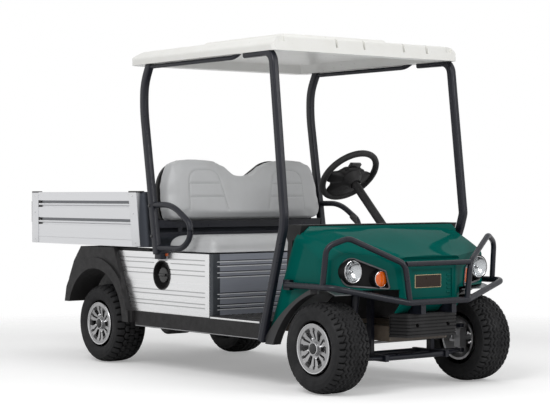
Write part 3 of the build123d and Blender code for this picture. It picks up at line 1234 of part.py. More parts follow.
bed_inside_x = BED_FRONT_X - BED_LEAN - BED_WALL
inside_plan = [
    (BED_REAR_X - BED_WALL, -BED_HALF_WIDTH + BED_WALL),
    (bed_inside_x, -BED_HALF_WIDTH + BED_WALL, BED_CORNER - BED_WALL),
    (bed_inside_x, BED_HALF_WIDTH - BED_WALL, BED_CORNER - BED_WALL),
    (BED_REAR_X - BED_WALL, BED_HALF_WIDTH - BED_WALL),
]
bed = loft([bed_plan(BED_FRONT_X, BED_BOTTOM), bed_plan(BED_FRONT_X - BED_LEAN, BED_TOP)], ruled=True)
bed = bed - plan_slab(inside_plan, BED_BOTTOM + BED_FLOOR, BED_TOP + BED_WALL)
for base, height in BED_GROOVES:
    for side in SIDES.values():
        bed = bed - block(BED_REAR_X + GROOVE_REAR_GAP, BED_FRONT_X - GROOVE_FRONT_GAP,
                          (BED_HALF_WIDTH - GROOVE_DEPTH) * side, BED_HALF_WIDTH * side,
                          BED_BOTTOM + base, BED_BOTTOM + base + height)
for side in SIDES.values():
    lug_inner = (RAIL_OUTER_Y + PANEL_GAP) * side
    lug_outer = (RAIL_OUTER_Y + PANEL_GAP + LUG_PLATE) * side
    lug = block(BED_HINGE_X - LUG_HALF, BED_HINGE_X + LUG_HALF, lug_inner, lug_outer,
                BED_HINGE_Z - LUG_HALF / 2, BED_BOTTOM)
    pin_end = (RAIL_INNER_Y + PANEL_GAP) * side
    pin = rod((BED_HINGE_X, lug_outer, BED_HINGE_Z), (BED_HINGE_X, pin_end, BED_HINGE_Z), HINGE_PIN_RADIUS)
    bed = fused(bed, lug, pin)

# Tailgate between the side walls, on a pin along its rounded foot
GATE_THICKNESS = 26.0
GATE_GAP = 7.0
GATE_PIN_RADIUS = 9.0
gate_half = BED_HALF_WIDTH - BED_WALL - GATE_GAP
gate_x = BED_REAR_X + GATE_THICKNESS / 2
gate_z = BED_BOTTOM + BED_FLOOR + MOVING_GAP + GATE_THICKNESS / 2
gate_pin_end = BED_HALF_WIDTH - BED_WALL / 2
gate = block(BED_REAR_X, BED_REAR_X + GATE_THICKNESS, -gate_half, gate_half, gate_z, BED_TOP)
foot_roll = rod((gate_x, -gate_half, gate_z), (gate_x, gate_half, gate_z), GATE_THICKNESS / 2)
gate_pin = rod((gate_x, -gate_pin_end, gate_z), (gate_x, gate_pin_end, gate_z), GATE_PIN_RADIUS)
pin_room = rod((gate_x, -gate_pin_end - PANEL_GAP, gate_z), (gate_x, gate_pin_end + PANEL_GAP, gate_z),
               GATE_PIN_RADIUS + RUNNING_FIT)
parts["cargo_bed"] = bed - pin_room
parts["tailgate"] = fused(gate, foot_roll, gate_pin)

for name, solid in parts.items():
    export_step(solid, "parts/" + name + ".step")
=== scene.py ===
import math

import bmesh
import bpy
from mathutils import Matrix, Quaternion, Vector
from mathutils.kdtree import KDTree


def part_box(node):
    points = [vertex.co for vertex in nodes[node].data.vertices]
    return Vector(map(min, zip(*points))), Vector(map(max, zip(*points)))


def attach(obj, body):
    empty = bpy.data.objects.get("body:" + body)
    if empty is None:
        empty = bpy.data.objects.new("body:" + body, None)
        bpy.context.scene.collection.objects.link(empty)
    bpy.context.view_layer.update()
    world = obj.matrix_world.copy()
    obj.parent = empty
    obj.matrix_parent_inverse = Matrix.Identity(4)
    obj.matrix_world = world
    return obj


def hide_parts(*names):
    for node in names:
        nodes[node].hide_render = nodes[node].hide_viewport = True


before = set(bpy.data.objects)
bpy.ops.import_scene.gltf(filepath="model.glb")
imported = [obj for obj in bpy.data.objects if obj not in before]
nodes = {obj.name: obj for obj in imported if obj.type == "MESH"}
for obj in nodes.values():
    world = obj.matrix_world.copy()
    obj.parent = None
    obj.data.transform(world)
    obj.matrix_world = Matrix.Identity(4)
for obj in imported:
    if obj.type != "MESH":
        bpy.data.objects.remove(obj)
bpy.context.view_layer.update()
scene = bpy.context.scene
scene.view_settings.view_transform = "Standard"

# Camera at the photograph's place, for a frame of 550 by 420
CAMERA_PLACE = Vector((7.738, -5.865, 1.024))
CAMERA_YAW_DEG = 142.148
CAMERA_PITCH_DEG = -0.637
CAMERA_ROLL_DEG = -0.128
CAMERA_LENS_MM = 108.8
yaw = math.radians(CAMERA_YAW_DEG)
pitch = math.radians(CAMERA_PITCH_DEG)
forward = Vector((math.cos(yaw) * math.cos(pitch), math.sin(yaw) * math.cos(pitch), math.sin(pitch)))
camera = bpy.data.objects.new("camera", bpy.data.cameras.new("camera"))
camera.data.lens = CAMERA_LENS_MM
camera.location = CAMERA_PLACE
camera.rotation_mode = "QUATERNION"
roll = Quaternion((0, 0, 1), math.radians(CAMERA_ROLL_DEG))
camera.rotation_quaternion = forward.to_track_quat("-Z", "Y") @ roll
scene.collection.objects.link(camera)
scene.camera = camera

# Materials, kept by name in a palette
PATCH_SCALE = 9.0
PATCH_EDGE = (0.42, 0.75)
GLOSS_SCALE = 34.0
SCRATCH_SCALE = 1100.0
SCRATCH_EDGE = (0.3, 0.6)
SCRATCH_DEPTH = 0.00005
SHEEN_SCALE = 30.0
palette = {}


def shader_of(made):
    """The principled shader of a material."""
    return made.node_tree.nodes["Principled BSDF"]


def new_material(name, colour, roughness, metallic=0.0):
    """A principled material with its constant values on the shader's own sockets."""
    made = bpy.data.materials.new(name)
    made.use_nodes = True
    shader = shader_of(made)
    shader.inputs["Base Color"].default_value = (*colour, 1.0)
    shader.inputs["Roughness"].default_value = roughness
    shader.inputs["Metallic"].default_value = metallic
    palette[name] = made
    return made


def texture(made, kind, scale, stretch=(1.0, 1.0, 1.0), **settings):
    """A texture node on the object's own coordinates, in metres, stretched along its axes."""
    tree = made.node_tree
    place = tree.nodes.new("ShaderNodeTexCoord")
    mapping = tree.nodes.new("ShaderNodeMapping")
    mapping.inputs["Scale"].default_value = stretch
    made_texture = tree.nodes.new("ShaderNodeTex" + kind)
    tree.links.new(place.outputs["Object"], mapping.inputs["Vector"])
    tree.links.new(mapping.outputs["Vector"], made_texture.inputs["Vector"])
    made_texture.inputs["Scale"].default_value = scale
    for name, value in settings.items():
        made_texture.inputs[name].default_value = value
    return made_texture.outputs[0]


def object_axis(made, axis):
    """One of the object's own coordinates, in metres."""
    tree = made.node_tree
    apart = tree.nodes.new("ShaderNodeSeparateXYZ")
    tree.links.new(tree.nodes.new("ShaderNodeTexCoord").outputs["Object"], apart.inputs["Vector"])
    return apart.outputs[axis]


def mapped(made, signal, low, high, start=0.3, end=0.7):
    """A signal between start and end, spread over low to high."""
    spread = made.node_tree.nodes.new("ShaderNodeMapRange")
    spread.inputs["From Min"].default_value = start
    spread.inputs["From Max"].default_value = end
    spread.inputs["To Min"].default_value = low
    spread.inputs["To Max"].default_value = high
    made.node_tree.links.new(signal, spread.inputs["Value"])
    return spread.outputs["Result"]


def vary_roughness(made, signal, low, high):
    """The roughness runs from low to high with a signal."""
    made.node_tree.links.new(mapped(made, signal, low, high), shader_of(made).inputs["Roughness"])


def vary_colour(made, signal, first, second, start=0.3, end=0.7):
    """The base colour runs from the first colour to the second with a signal."""
    tree = made.node_tree
    ramp = tree.nodes.new("ShaderNodeValToRGB")
    ramp.color_ramp.elements[0].position = start
    ramp.color_ramp.elements[1].position = end
    ramp.color_ramp.elements[0].color = (*first, 1.0)
    ramp.color_ramp.elements[1].color = (*second, 1.0)
    tree.links.new(signal, ramp.inputs["Fac"])
    tree.links.new(ramp.outputs["Color"], shader_of(made).inputs["Base Color"])


def add_bump(made, signal, depth, strength=1.0):
    """Bump of a depth in metres."""
    tree = made.node_tree
    bump = tree.nodes.new("ShaderNodeBump")
    bump.inputs["Distance"].default_value = depth
    bump.inputs["Strength"].default_value = strength
    tree.links.new(signal, bump.inputs["Height"])
    tree.links.new(bump.outputs["Normal"], shader_of(made).inputs["Normal"])


def grained(name, colour, worn, roughness, grain, depth, specular):
    """Moulded or coated surface: fine grain, faint patches of another colour, uneven gloss."""
    made = new_material(name, colour, roughness)
    shader_of(made).inputs["Specular IOR Level"].default_value = specular
    vary_colour(made, texture(made, "Noise", PATCH_SCALE, Detail=6.0), colour, worn, *PATCH_EDGE)
    gloss = texture(made, "Noise", GLOSS_SCALE, Detail=4.0)
    vary_roughness(made, gloss, roughness - 0.07, roughness + 0.09)
    add_bump(made, texture(made, "Noise", grain, Detail=2.0), depth)


def brushed(name, colour, dark, roughness, stretch, metallic):
    """Metal with fine scratches along the axis that has the smallest stretch."""
    made = new_material(name, colour, roughness, metallic)
    scratches = texture(made, "Noise", SCRATCH_SCALE, stretch, Detail=3.0)
    vary_colour(made, scratches, dark, colour, *SCRATCH_EDGE)
    sheen = texture(made, "Noise", SHEEN_SCALE, stretch, Detail=2.0)
    vary_roughness(made, sheen, roughness - 0.04, roughness + 0.05)
    add_bump(made, scratches, SCRATCH_DEPTH, 0.2)


GRAINED = (
    # name, colour, worn colour, roughness, scale of the grain, depth of the grain, specular
    ("powder_coat", (0.008, 0.009, 0.015), (0.012, 0.013, 0.020), 0.33, 1400.0, 0.0001, 0.31),
    ("deck_grey", (0.045, 0.050, 0.058), (0.058, 0.064, 0.072), 0.40, 1400.0, 0.0001, 0.40),
    ("bezel_black", (0.004, 0.004, 0.0045), (0.006, 0.006, 0.0065), 0.42, 500.0, 0.0001, 0.14),
    ("bezel_grey", (0.10, 0.10, 0.108), (0.12, 0.12, 0.128), 0.40, 900.0, 0.0001, 0.40),
    ("black_plastic", (0.015, 0.0145, 0.015), (0.023, 0.022, 0.023), 0.52, 900.0, 0.0003, 0.24),
    ("gloss_black", (0.010, 0.010, 0.011), (0.016, 0.016, 0.017), 0.24, 500.0, 0.0001, 0.50),
    # groove_shade_rubber is near-black rubber that paints the shade in the tyres' grooves
    ("groove_shade_rubber", (0.003, 0.003, 0.003), (0.005, 0.005, 0.005), 0.80, 900.0, 0.0003, 0.05),
    ("tyre_rubber", (0.016, 0.016, 0.017), (0.030, 0.030, 0.031), 0.66, 700.0, 0.0004, 0.18),
    ("mat_rubber", (0.020, 0.020, 0.021), (0.036, 0.035, 0.034), 0.62, 800.0, 0.0004, 0.30),
    ("frame_bronze", (0.075, 0.058, 0.044), (0.120, 0.094, 0.070), 0.46, 900.0, 0.0003, 0.50),
    ("cast_iron", (0.045, 0.045, 0.048), (0.075, 0.070, 0.066), 0.60, 260.0, 0.0012, 0.50),
    ("roof_white", (0.83, 0.828, 0.80), (0.80, 0.795, 0.76), 0.34, 420.0, 0.0003, 0.50),
    ("vinyl_grey", (0.51, 0.517, 0.525), (0.48, 0.486, 0.493), 0.44, 620.0, 0.0006, 0.50),
    ("plate_brown", (0.026, 0.014, 0.009), (0.036, 0.020, 0.012), 0.34, 900.0, 0.0003, 0.20),
    ("thread_grey", (0.34, 0.345, 0.35), (0.29, 0.295, 0.30), 0.60, 2400.0, 0.0004, 0.50),
)
for row in GRAINED:
    grained(*row)

ALONG = (0.004, 1.0, 1.0)
LEVEL = (0.004, 0.004, 1.0)
TURNED = (1.0, 0.3, 1.0)
EVEN = (1.0, 1.0, 1.0)
BED_COLOUR = (0.66, 0.665, 0.68)
BRUSHED = (
    # name, colour, dark colour, roughness, stretch, metallic
    ("bed_metal", BED_COLOUR, (0.63, 0.635, 0.65), 0.34, ALONG, 1.0),
    # bed_shell_painted_reflection has the bed's colour, with a painted dark reflection at its front corners
    # set below
    ("bed_shell_painted_reflection", BED_COLOUR, (0.63, 0.635, 0.65), 0.34, ALONG, 1.0),
    ("panel_metal", (0.77, 0.772, 0.778), (0.74, 0.742, 0.748), 0.27, LEVEL, 1.0),
    # line_shade_metal is a darker metal that paints the shade in the side panels' grooves
    ("line_shade_metal", (0.44, 0.445, 0.45), (0.40, 0.405, 0.41), 0.40, LEVEL, 1.0),
    ("heel_metal", (0.33, 0.35, 0.40), (0.29, 0.31, 0.36), 0.38, LEVEL, 0.35),
    # lip_highlight_metal is a bright metal that paints the highlight on the lips of the heel panel's ribs
    ("lip_highlight_metal", (0.74, 0.755, 0.78), (0.70, 0.715, 0.74), 0.36, LEVEL, 0.35),
    # groove_shade_metal is a dark metal that paints the shade in the grooves of the bed and the heel panel
    ("groove_shade_metal", (0.17, 0.175, 0.185), (0.14, 0.145, 0.155), 0.40, LEVEL, 1.0),
    ("steel_bare", (0.42, 0.42, 0.43), (0.30, 0.30, 0.31), 0.42, EVEN, 1.0),
    ("rim_silver", (0.40, 0.40, 0.405), (0.36, 0.36, 0.365), 0.36, TURNED, 1.0),
    ("bright_metal", (0.62, 0.62, 0.63), (0.57, 0.57, 0.58), 0.20, EVEN, 1.0),
    ("plate_gold", (0.55, 0.44, 0.28), (0.50, 0.40, 0.25), 0.26, EVEN, 1.0),
    ("lamp_mirror", (0.58, 0.59, 0.60), (0.50, 0.51, 0.52), 0.14, EVEN, 1.0),
)
for row in BRUSHED:
    brushed(*row)

green = new_material("body_green", (0.001, 0.095, 0.079), 0.30)
shader_of(green).inputs["Specular IOR Level"].default_value = 0.0
shader_of(green).inputs["Coat Weight"].default_value = 0.14
shader_of(green).inputs["Coat Roughness"].default_value = 0.06
vary_colour(green, texture(green, "Noise", 5.0, Detail=3.0), (0.0010, 0.090, 0.075), (0.0015, 0.102, 0.085))
add_bump(green, texture(green, "Noise", 160.0, Detail=1.0), 0.0002, 0.3)

clear = new_material("lens_clear", (0.95, 0.97, 0.98), 0.03)
shader_of(clear).inputs["Transmission Weight"].default_value = 1.0
shader_of(clear).inputs["IOR"].default_value = 1.15
add_bump(clear, texture(clear, "Noise", 70.0, Detail=1.0), 0.0002, 0.3)

amber = new_material("lens_amber", (0.95, 0.15, 0.004), 0.14)
shader_of(amber).inputs["Transmission Weight"].default_value = 0.25
shader_of(amber).inputs["Coat Weight"].default_value = 0.3
vary_colour(amber, texture(amber, "Noise", 40.0, Detail=2.0), (0.90, 0.13, 0.003), (1.0, 0.18, 0.006))

# The bed is bare metal, with a painted dark reflection on its front corners, where the dark seat and strut
# are mirrored
BED_CORNER_START_X = -0.372
BED_CORNER_END_X = -0.330
BED_CORNER_REFLECTION_COLOUR = (0.045, 0.049, 0.058)
shell = palette["bed_shell_painted_reflection"]
# Painted reflection: the colour turns darker towards the front corners along X
corner = mapped(shell, object_axis(shell, "X"), 0.0, 1.0, BED_CORNER_START_X, BED_CORNER_END_X)
vary_colour(shell, corner, BED_COLOUR, BED_CORNER_REFLECTION_COLOUR, 0.0, 1.0)

# The wheel arches are black at the trim and bare zinc further in
LINER_EDGE_Y = 0.548
TRIM_EDGE_Y = 0.552
ZINC_COLOUR = (0.30, 0.31, 0.32)
TRIM_COLOUR = (0.016, 0.016, 0.017)
zinc = new_material("arch_zinc", ZINC_COLOUR, 0.46)
reach = zinc.node_tree.nodes.new("ShaderNodeMath")
reach.operation = "ABSOLUTE"
zinc.node_tree.links.new(object_axis(zinc, "Y"), reach.inputs[0])
inside = mapped(zinc, reach.outputs["Value"], 1.0, 0.0, LINER_EDGE_Y, TRIM_EDGE_Y)
vary_colour(zinc, inside, TRIM_COLOUR, ZINC_COLOUR, 0.0, 1.0)
zinc.node_tree.links.new(inside, shader_of(zinc).inputs["Metallic"])
add_bump(zinc, texture(zinc, "Voronoi", 90.0), 0.0003, 0.3)

NODE_MATERIALS = {
    # material: the CAD nodes that it covers
    "powder_coat": ("front_strut_left", "front_strut_right", "rear_strut_left", "rear_strut_right",
                    "brush_guard", "seat_frame", "pedals", "front_suspension"),
    "deck_grey": ("seat_deck",),
    "bezel_black": ("lamp_bezels",),
    "heel_metal": ("heel_panel",),
    "black_plastic": ("floor_pan", "filler_cap", "rear_fender_left", "rear_fender_right", "seat_shell",
                      "dash", "steering_column", "steering_wheel", "front_bumper"),
    "arch_zinc": ("wheel_arches",),
    "bed_shell_painted_reflection": ("cargo_bed",),
    "bed_metal": ("tailgate",),
    "panel_metal": ("side_panel_left", "side_panel_right"),
    "frame_bronze": ("frame_rails", "crossmembers"),
    "cast_iron": ("rear_axle", "engine"),
    "steel_bare": ("knuckle_left", "knuckle_right", "tie_rod"),
    "rim_silver": ("rim_front_left", "rim_front_right", "rim_rear_left", "rim_rear_right"),
    "tyre_rubber": ("tyre_front_left", "tyre_front_right", "tyre_rear_left", "tyre_rear_right"),
    "roof_white": ("canopy",),
    "body_green": ("cowl",),
    "vinyl_grey": ("seat_cushion", "seat_back"),
    "lens_clear": ("lamps",),
}
for coat, names in NODE_MATERIALS.items():
    for name in names:
        nodes[name].data.materials.clear()
        nodes[name].data.materials.append(palette[coat])


# Mesh helpers. A group is a list of points, a list of faces and a material number.
def add_piece(name, mesh, body, slot, *coats):
    """A new object that rides on a body and wears materials of the palette. The slot is not used."""
    piece = bpy.data.objects.new(name, mesh)
    scene.collection.objects.link(piece)
    for coat in coats:
        mesh.materials.append(palette[coat])
    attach(piece, body)
    return piece


def mesh_from(name, points, faces, numbers=None, crease_deg=40.0):
    """A mesh with outward faces, smooth but for corners sharper than the crease."""
    mesh = bpy.data.meshes.new(name)
    mesh.from_pydata([tuple(point) for point in points], [], faces)
    if numbers:
        mesh.polygons.foreach_set("material_index", numbers)
    shape = bmesh.new()
    shape.from_mesh(mesh)
    bmesh.ops.recalc_face_normals(shape, faces=shape.faces)
    shape.to_mesh(mesh)
    shape.free()
    mesh.polygons.foreach_set("use_smooth", [True] * len(mesh.polygons))
    mesh.set_sharp_from_angle(angle=math.radians(crease_deg))
    return mesh


def add_groups(name, groups, body, slot, *coats, crease_deg=40.0):
    """One piece from several groups."""
    points, faces, numbers = [], [], []
    for group_points, group_faces, number in groups:
        start = len(points)
        points += list(group_points)
        faces += [tuple(start + index for index in face) for face in group_faces]
        numbers += [number] * len(group_faces)
    return add_piece(name, mesh_from(name, points, faces, numbers, crease_deg), body, slot, *coats)


def placed(shape, matrix, number=0):
    """A group from points and faces that are moved by a matrix."""
    points, faces = shape
    return [matrix @ point for point in points], faces, number


def grid_faces(rows, columns, wrap_rows=False, wrap_columns=False):
    """Quads over a grid of points that is stored row by row."""
    faces = []
    for row in range(rows if wrap_rows else rows - 1):
        here = row * columns
        below = (row + 1) % rows * columns
        for column in range(columns if wrap_columns else columns - 1):
            right = (column + 1) % columns
            faces.append((here + column, here + right, below + right, below + column))
    return faces


def tube_faces(rows, columns):
    """Quads round a tube of points that is stored ring by ring, with both ends closed."""
    last = (rows - 1) * columns
    ends = [tuple(range(columns)), tuple(range(last, last + columns))]
    return grid_faces(rows, columns, wrap_columns=True) + ends


def axis_frame(centre, axis):
    """A matrix whose Z runs along an axis from a centre."""
    return Matrix.Translation(centre) @ Vector(axis).to_track_quat("Z", "Y").to_matrix().to_4x4()


def side_frame(side, y):
    """A matrix that takes X, Y, Z to forward, up and outward, from a place across."""
    return Matrix(((1, 0, 0, 0), (0, 0, side, y * side), (0, 1, 0, 0), (0, 0, 0, 1)))


def lathe(profile, segments):
    """Points and faces of a (radius, height) profile turned round Z."""
    points = []
    for radius, height in profile:
        for step in range(segments):
            angle = 2 * math.pi * step / segments
            points.append(Vector((radius * math.cos(angle), radius * math.sin(angle), height)))
    return points, grid_faces(len(profile), segments, wrap_columns=True)


def swept(route, radius, segments):
    """Points and faces of a round tube along a list of points, closed at its ends."""
    points = []
    for index, point in enumerate(route):
        before = route[max(index - 1, 0)]
        after = route[min(index + 1, len(route) - 1)]
        turn = (after - before).to_track_quat("Z", "Y")
        for step in range(segments):
            angle = 2 * math.pi * step / segments
            points.append(point + turn @ Vector((radius * math.cos(angle), radius * math.sin(angle), 0)))
    return points, tube_faces(len(route), segments)


def bevelled(shape, round_by, segments):
    """Points and faces of a bmesh after its edges are rounded. The bmesh is freed."""
    bmesh.ops.bevel(shape, geom=shape.edges[:], offset=round_by, segments=segments,
                    profile=0.5, affect="EDGES")
    shape.verts.index_update()
    points = [vertex.co.copy() for vertex in shape.verts]
    faces = [tuple(vertex.index for vertex in face.verts) for face in shape.faces]
    shape.free()
    return points, faces


def rounded_box(size, round_by, segments=3):
    """Points and faces of a box round the origin with rounded edges."""
    shape = bmesh.new()
    bmesh.ops.create_cube(shape, size=1.0)
    bmesh.ops.scale(shape, vec=size, verts=shape.verts)
    return bevelled(shape, round_by, segments)


def prism(outline, depth, round_by):
    """Points and faces of an outline in X and Y that is raised along Z, with rounded edges."""
    shape = bmesh.new()
    foot = shape.faces.new([shape.verts.new((x, y, 0)) for x, y in outline])
    raised = bmesh.ops.extrude_face_region(shape, geom=[foot])
    top = [item for item in raised["geom"] if isinstance(item, bmesh.types.BMVert)]
    bmesh.ops.translate(shape, verts=top, vec=(0, 0, depth))
    return bevelled(shape, round_by, 2)


def smoothstep(low, high, value):
    """From 0 at low to 1 at high, level at both ends."""
    share = min(max((value - low) / (high - low), 0.0), 1.0)
    return share * share * (3 - 2 * share)


def straight(low, high, value):
    """From 0 at low to 1 at high in a straight line."""
    return (value - low) / (high - low)


def from_table(table, at, ease):
    """The second column of a table at a place in its first column, eased between the rows."""
    for (start, first), (end, last) in zip(table, table[1:]):
        if at <= end:
            return first + (last - first) * ease(start, end, at)
    return table[-1][1]


# Tyres: turned sections with cut treads
TYRE_RADIUS = 0.233
TYRE_HALF_WIDTH = 0.1035
BEAD_RADIUS = 0.121
TYRE_STEPS = 480
SECTION_STEPS = 120
SECTION_ARC_DEG = 256.0
WIDTH_POWER = 2 / 3.2
CROWN_POWER = 2 / 3.6
WALL_POWER = 2 / 2.4
TREAD_HALF_WIDTH = 0.090
TREAD_FADE_END = TYRE_HALF_WIDTH * 0.985
TREAD_DEPTH = 0.0090
# Share of the tread depth beyond which faces take the darker rubber of painted groove shade
GROOVE_FLOOR = 0.55
GROOVE_HALF_WIDTH = 0.0048
ZIGZAG_COUNT = 40
ZIGZAG_SWING = 0.0070
FRONT_GROOVES = (-0.066, -0.040, -0.0135, 0.0135, 0.040, 0.066)
FRONT_GROOVE_EDGE = (GROOVE_HALF_WIDTH * 0.55, GROOVE_HALF_WIDTH * 1.25)
SHOULDER_FROM = 0.070
NOTCH_EDGE = (0.10, 0.22)
BLOCK_COUNT = 32
BLOCK_SWING = 0.6 * ZIGZAG_SWING
REAR_GROOVES = (-0.052, -0.018, 0.018, 0.052)
REAR_GROOVE_EDGE = (GROOVE_HALF_WIDTH * 0.7, GROOVE_HALF_WIDTH * 1.5)
BLOCK_GAP = 0.10
SHOULDER_GAP = 0.16
SIDE_RINGS = (0.146, 0.188, 0.205)
SIDE_RING_WIDTH = 0.0022
SIDE_RING_RISE = 0.0016


def triangle_wave(turns):
    """From 1 to -1 and back once a turn."""
    share = turns % 1.0
    return 4 * abs(share - 0.5) - 1


def front_cut(across, turns):
    """How deep the front tread is cut there, from 0 to 1: zigzag ribs and notched shoulders."""
    swing = ZIGZAG_SWING * triangle_wave(turns * ZIGZAG_COUNT)
    cut = max(1 - smoothstep(*FRONT_GROOVE_EDGE, abs(across - groove - swing)) for groove in FRONT_GROOVES)
    if abs(across) > SHOULDER_FROM:
        notch = abs((turns * ZIGZAG_COUNT + 0.25) % 1.0 - 0.5)
        cut = max(cut, 1 - smoothstep(*NOTCH_EDGE, notch))
    return cut


def rear_cut(across, turns):
    """How deep the rear tread is cut there: rows of staggered blocks with wide shoulder gaps."""
    swing = BLOCK_SWING * triangle_wave(turns * BLOCK_COUNT)
    cut = max(1 - smoothstep(*REAR_GROOVE_EDGE, abs(across - groove - swing)) for groove in REAR_GROOVES)
    row = sum(across > groove for groove in REAR_GROOVES)
    share = abs((turns * BLOCK_COUNT + 0.5 * (row % 2)) % 1.0 - 0.5)
    gap = SHOULDER_GAP if row in (0, len(REAR_GROOVES)) else BLOCK_GAP
    return max(cut, 1 - smoothstep(gap * 0.6, gap * 1.3, share))


def tyre_mesh(name, centre, cut):
    """A tyre round its centre, with the deep faces of its tread in a second, darker material that paints the
    shade in the grooves.
    """
    mid_radius = (TYRE_RADIUS + BEAD_RADIUS) / 2
    half_height = (TYRE_RADIUS - BEAD_RADIUS) / 2
    points = []
    depths = []
    for step in range(TYRE_STEPS):
        turns = step / TYRE_STEPS
        angle = 2 * math.pi * turns
        for index in range(SECTION_STEPS):
            around = math.radians(SECTION_ARC_DEG) * (index / (SECTION_STEPS - 1) - 0.5)
            sine = math.sin(around)
            cosine = math.cos(around)
            power = CROWN_POWER if abs(around) < math.pi / 2 else WALL_POWER
            across = TYRE_HALF_WIDTH * math.copysign(abs(sine) ** WIDTH_POWER, sine)
            radius = mid_radius + half_height * math.copysign(abs(cosine) ** power, cosine)
            on_tread = 1 - smoothstep(TREAD_HALF_WIDTH, TREAD_FADE_END, abs(across))
            depth = cut(across, turns) * on_tread if radius > mid_radius else 0.0
            depths.append(depth)
            radius -= TREAD_DEPTH * depth
            for ring in SIDE_RINGS:
                rise = SIDE_RING_RISE * (1 - smoothstep(0.4, 1.0, abs(radius - ring) / SIDE_RING_WIDTH))
                if abs(across) > TREAD_HALF_WIDTH:
                    across += math.copysign(rise, across)
            points.append(centre + Vector((radius * math.cos(angle), across, radius * math.sin(angle))))
    faces = grid_faces(TYRE_STEPS, SECTION_STEPS, wrap_rows=True)
    # The deepest faces of the grooves take the darker rubber: painted shade
    numbers = [int(min(depths[index] for index in face) > GROOVE_FLOOR) for face in faces]
    return mesh_from(name, points, faces, numbers, crease_deg=50.0)


WHEELS = ("front_left", "front_right", "rear_left", "rear_right")
for wheel in WHEELS:
    low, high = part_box("tyre_" + wheel)
    cut = front_cut if wheel.startswith("front") else rear_cut
    name = "tread_tyre_" + wheel
    mesh = tyre_mesh(name, (low + high) / 2, cut)
    tyre = add_piece(name, mesh, "wheel_" + wheel, "tyre", "tyre_rubber", "groove_shade_rubber")
    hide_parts("tyre_" + wheel)

# Helpers for the pieces that dress the CAD solids
SIDES = (1, -1)
RAY_REACH = 0.3
POLE = 0.0003


def surface(node, start, direction):
    """Where a ray from a point first meets a CAD node, and the surface's normal there."""
    hit, place, normal, face = nodes[node].ray_cast(Vector(start), Vector(direction).normalized())
    if not hit:
        raise ValueError("the ray misses " + node)
    return place, normal


def dome(radius, height, steps=4):
    """The profile of a round head that stands on its base."""
    turns = [math.pi / 2 * step / steps for step in range(steps)]
    crown = [(radius * math.cos(turn), height * (0.4 + 0.6 * math.sin(turn))) for turn in turns]
    return [(radius, -height)] + crown + [(POLE, height)]


def heads(name, places, radius, height, body, slot, coat, segments=16):
    """Bolt or rivet heads as one piece, each at a place and along a normal."""
    groups = [placed(lathe(dome(radius, height), segments), axis_frame(*place)) for place in places]
    return add_groups(name, groups, body, slot, coat)


def between(low, high, round_by):
    """A rounded plate between two corners."""
    low = Vector(low)
    high = Vector(high)
    return placed(rounded_box(high - low, round_by), Matrix.Translation((low + high) / 2))


def plates(name, corners, round_by, body, slot, coat):
    """Rounded plates as one piece, each between two corners."""
    groups = [between(low, high, round_by) for low, high in corners]
    piece = add_groups(name, groups, body, slot, coat, crease_deg=180.0)
    piece.modifiers.new("flat_faces", "WEIGHTED_NORMAL")
    return piece


def on_side(side, x_ends, y_ends, z_ends):
    """The two corners of a plate on the left (1) or the right (-1), from its ends outward of the middle."""
    across = sorted(y * side for y in y_ends)
    return (x_ends[0], across[0], z_ends[0]), (x_ends[1], across[1], z_ends[1])


def across_middle(x_ends, half, z_ends):
    """The two corners of a plate that reaches as far left as right."""
    return (x_ends[0], -half, z_ends[0]), (x_ends[1], half, z_ends[1])


# Wheels: a machined lip, a black cap in a bright ring, wheel nuts, and black plates at the ends of the rim's
# pockets that paint the shade of deeper recesses
LIP_PROFILE = ((0.1200, -0.004), (0.1225, 0.0015), (0.1265, 0.0025), (0.1285, -0.001), (0.1275, -0.006))
RING_PROFILE = ((0.0330, -0.006), (0.0330, 0.0030), (0.0315, 0.0050), (0.0285, 0.0050), (0.0270, 0.0030))
CAP_PROFILE = ((0.0272, -0.006), (0.0272, 0.0050), (0.0250, 0.0085), (0.0150, 0.0110), (POLE, 0.0115))
NUT_CIRCLE = 0.050
NUT_COUNT = 4
NUT_TURN_DEG = 15.0
NUT_RADIUS = 0.0080
NUT_HEIGHT = 0.010
POCKET_PAIRS = 6
POCKET_ENDS = (
    # half width, share of the pitch
    (0.0160, 0.0),
    (0.0066, 0.5),
)
POCKET_END_FROM = 0.089
POCKET_END_TO = 0.113
POCKET_FLARE = 1.25
POCKET_SHADE_SINK = 0.0015
POCKET_SHADE_DEPTH = 0.0022
POCKET_SHADE_ROUND = 0.0006
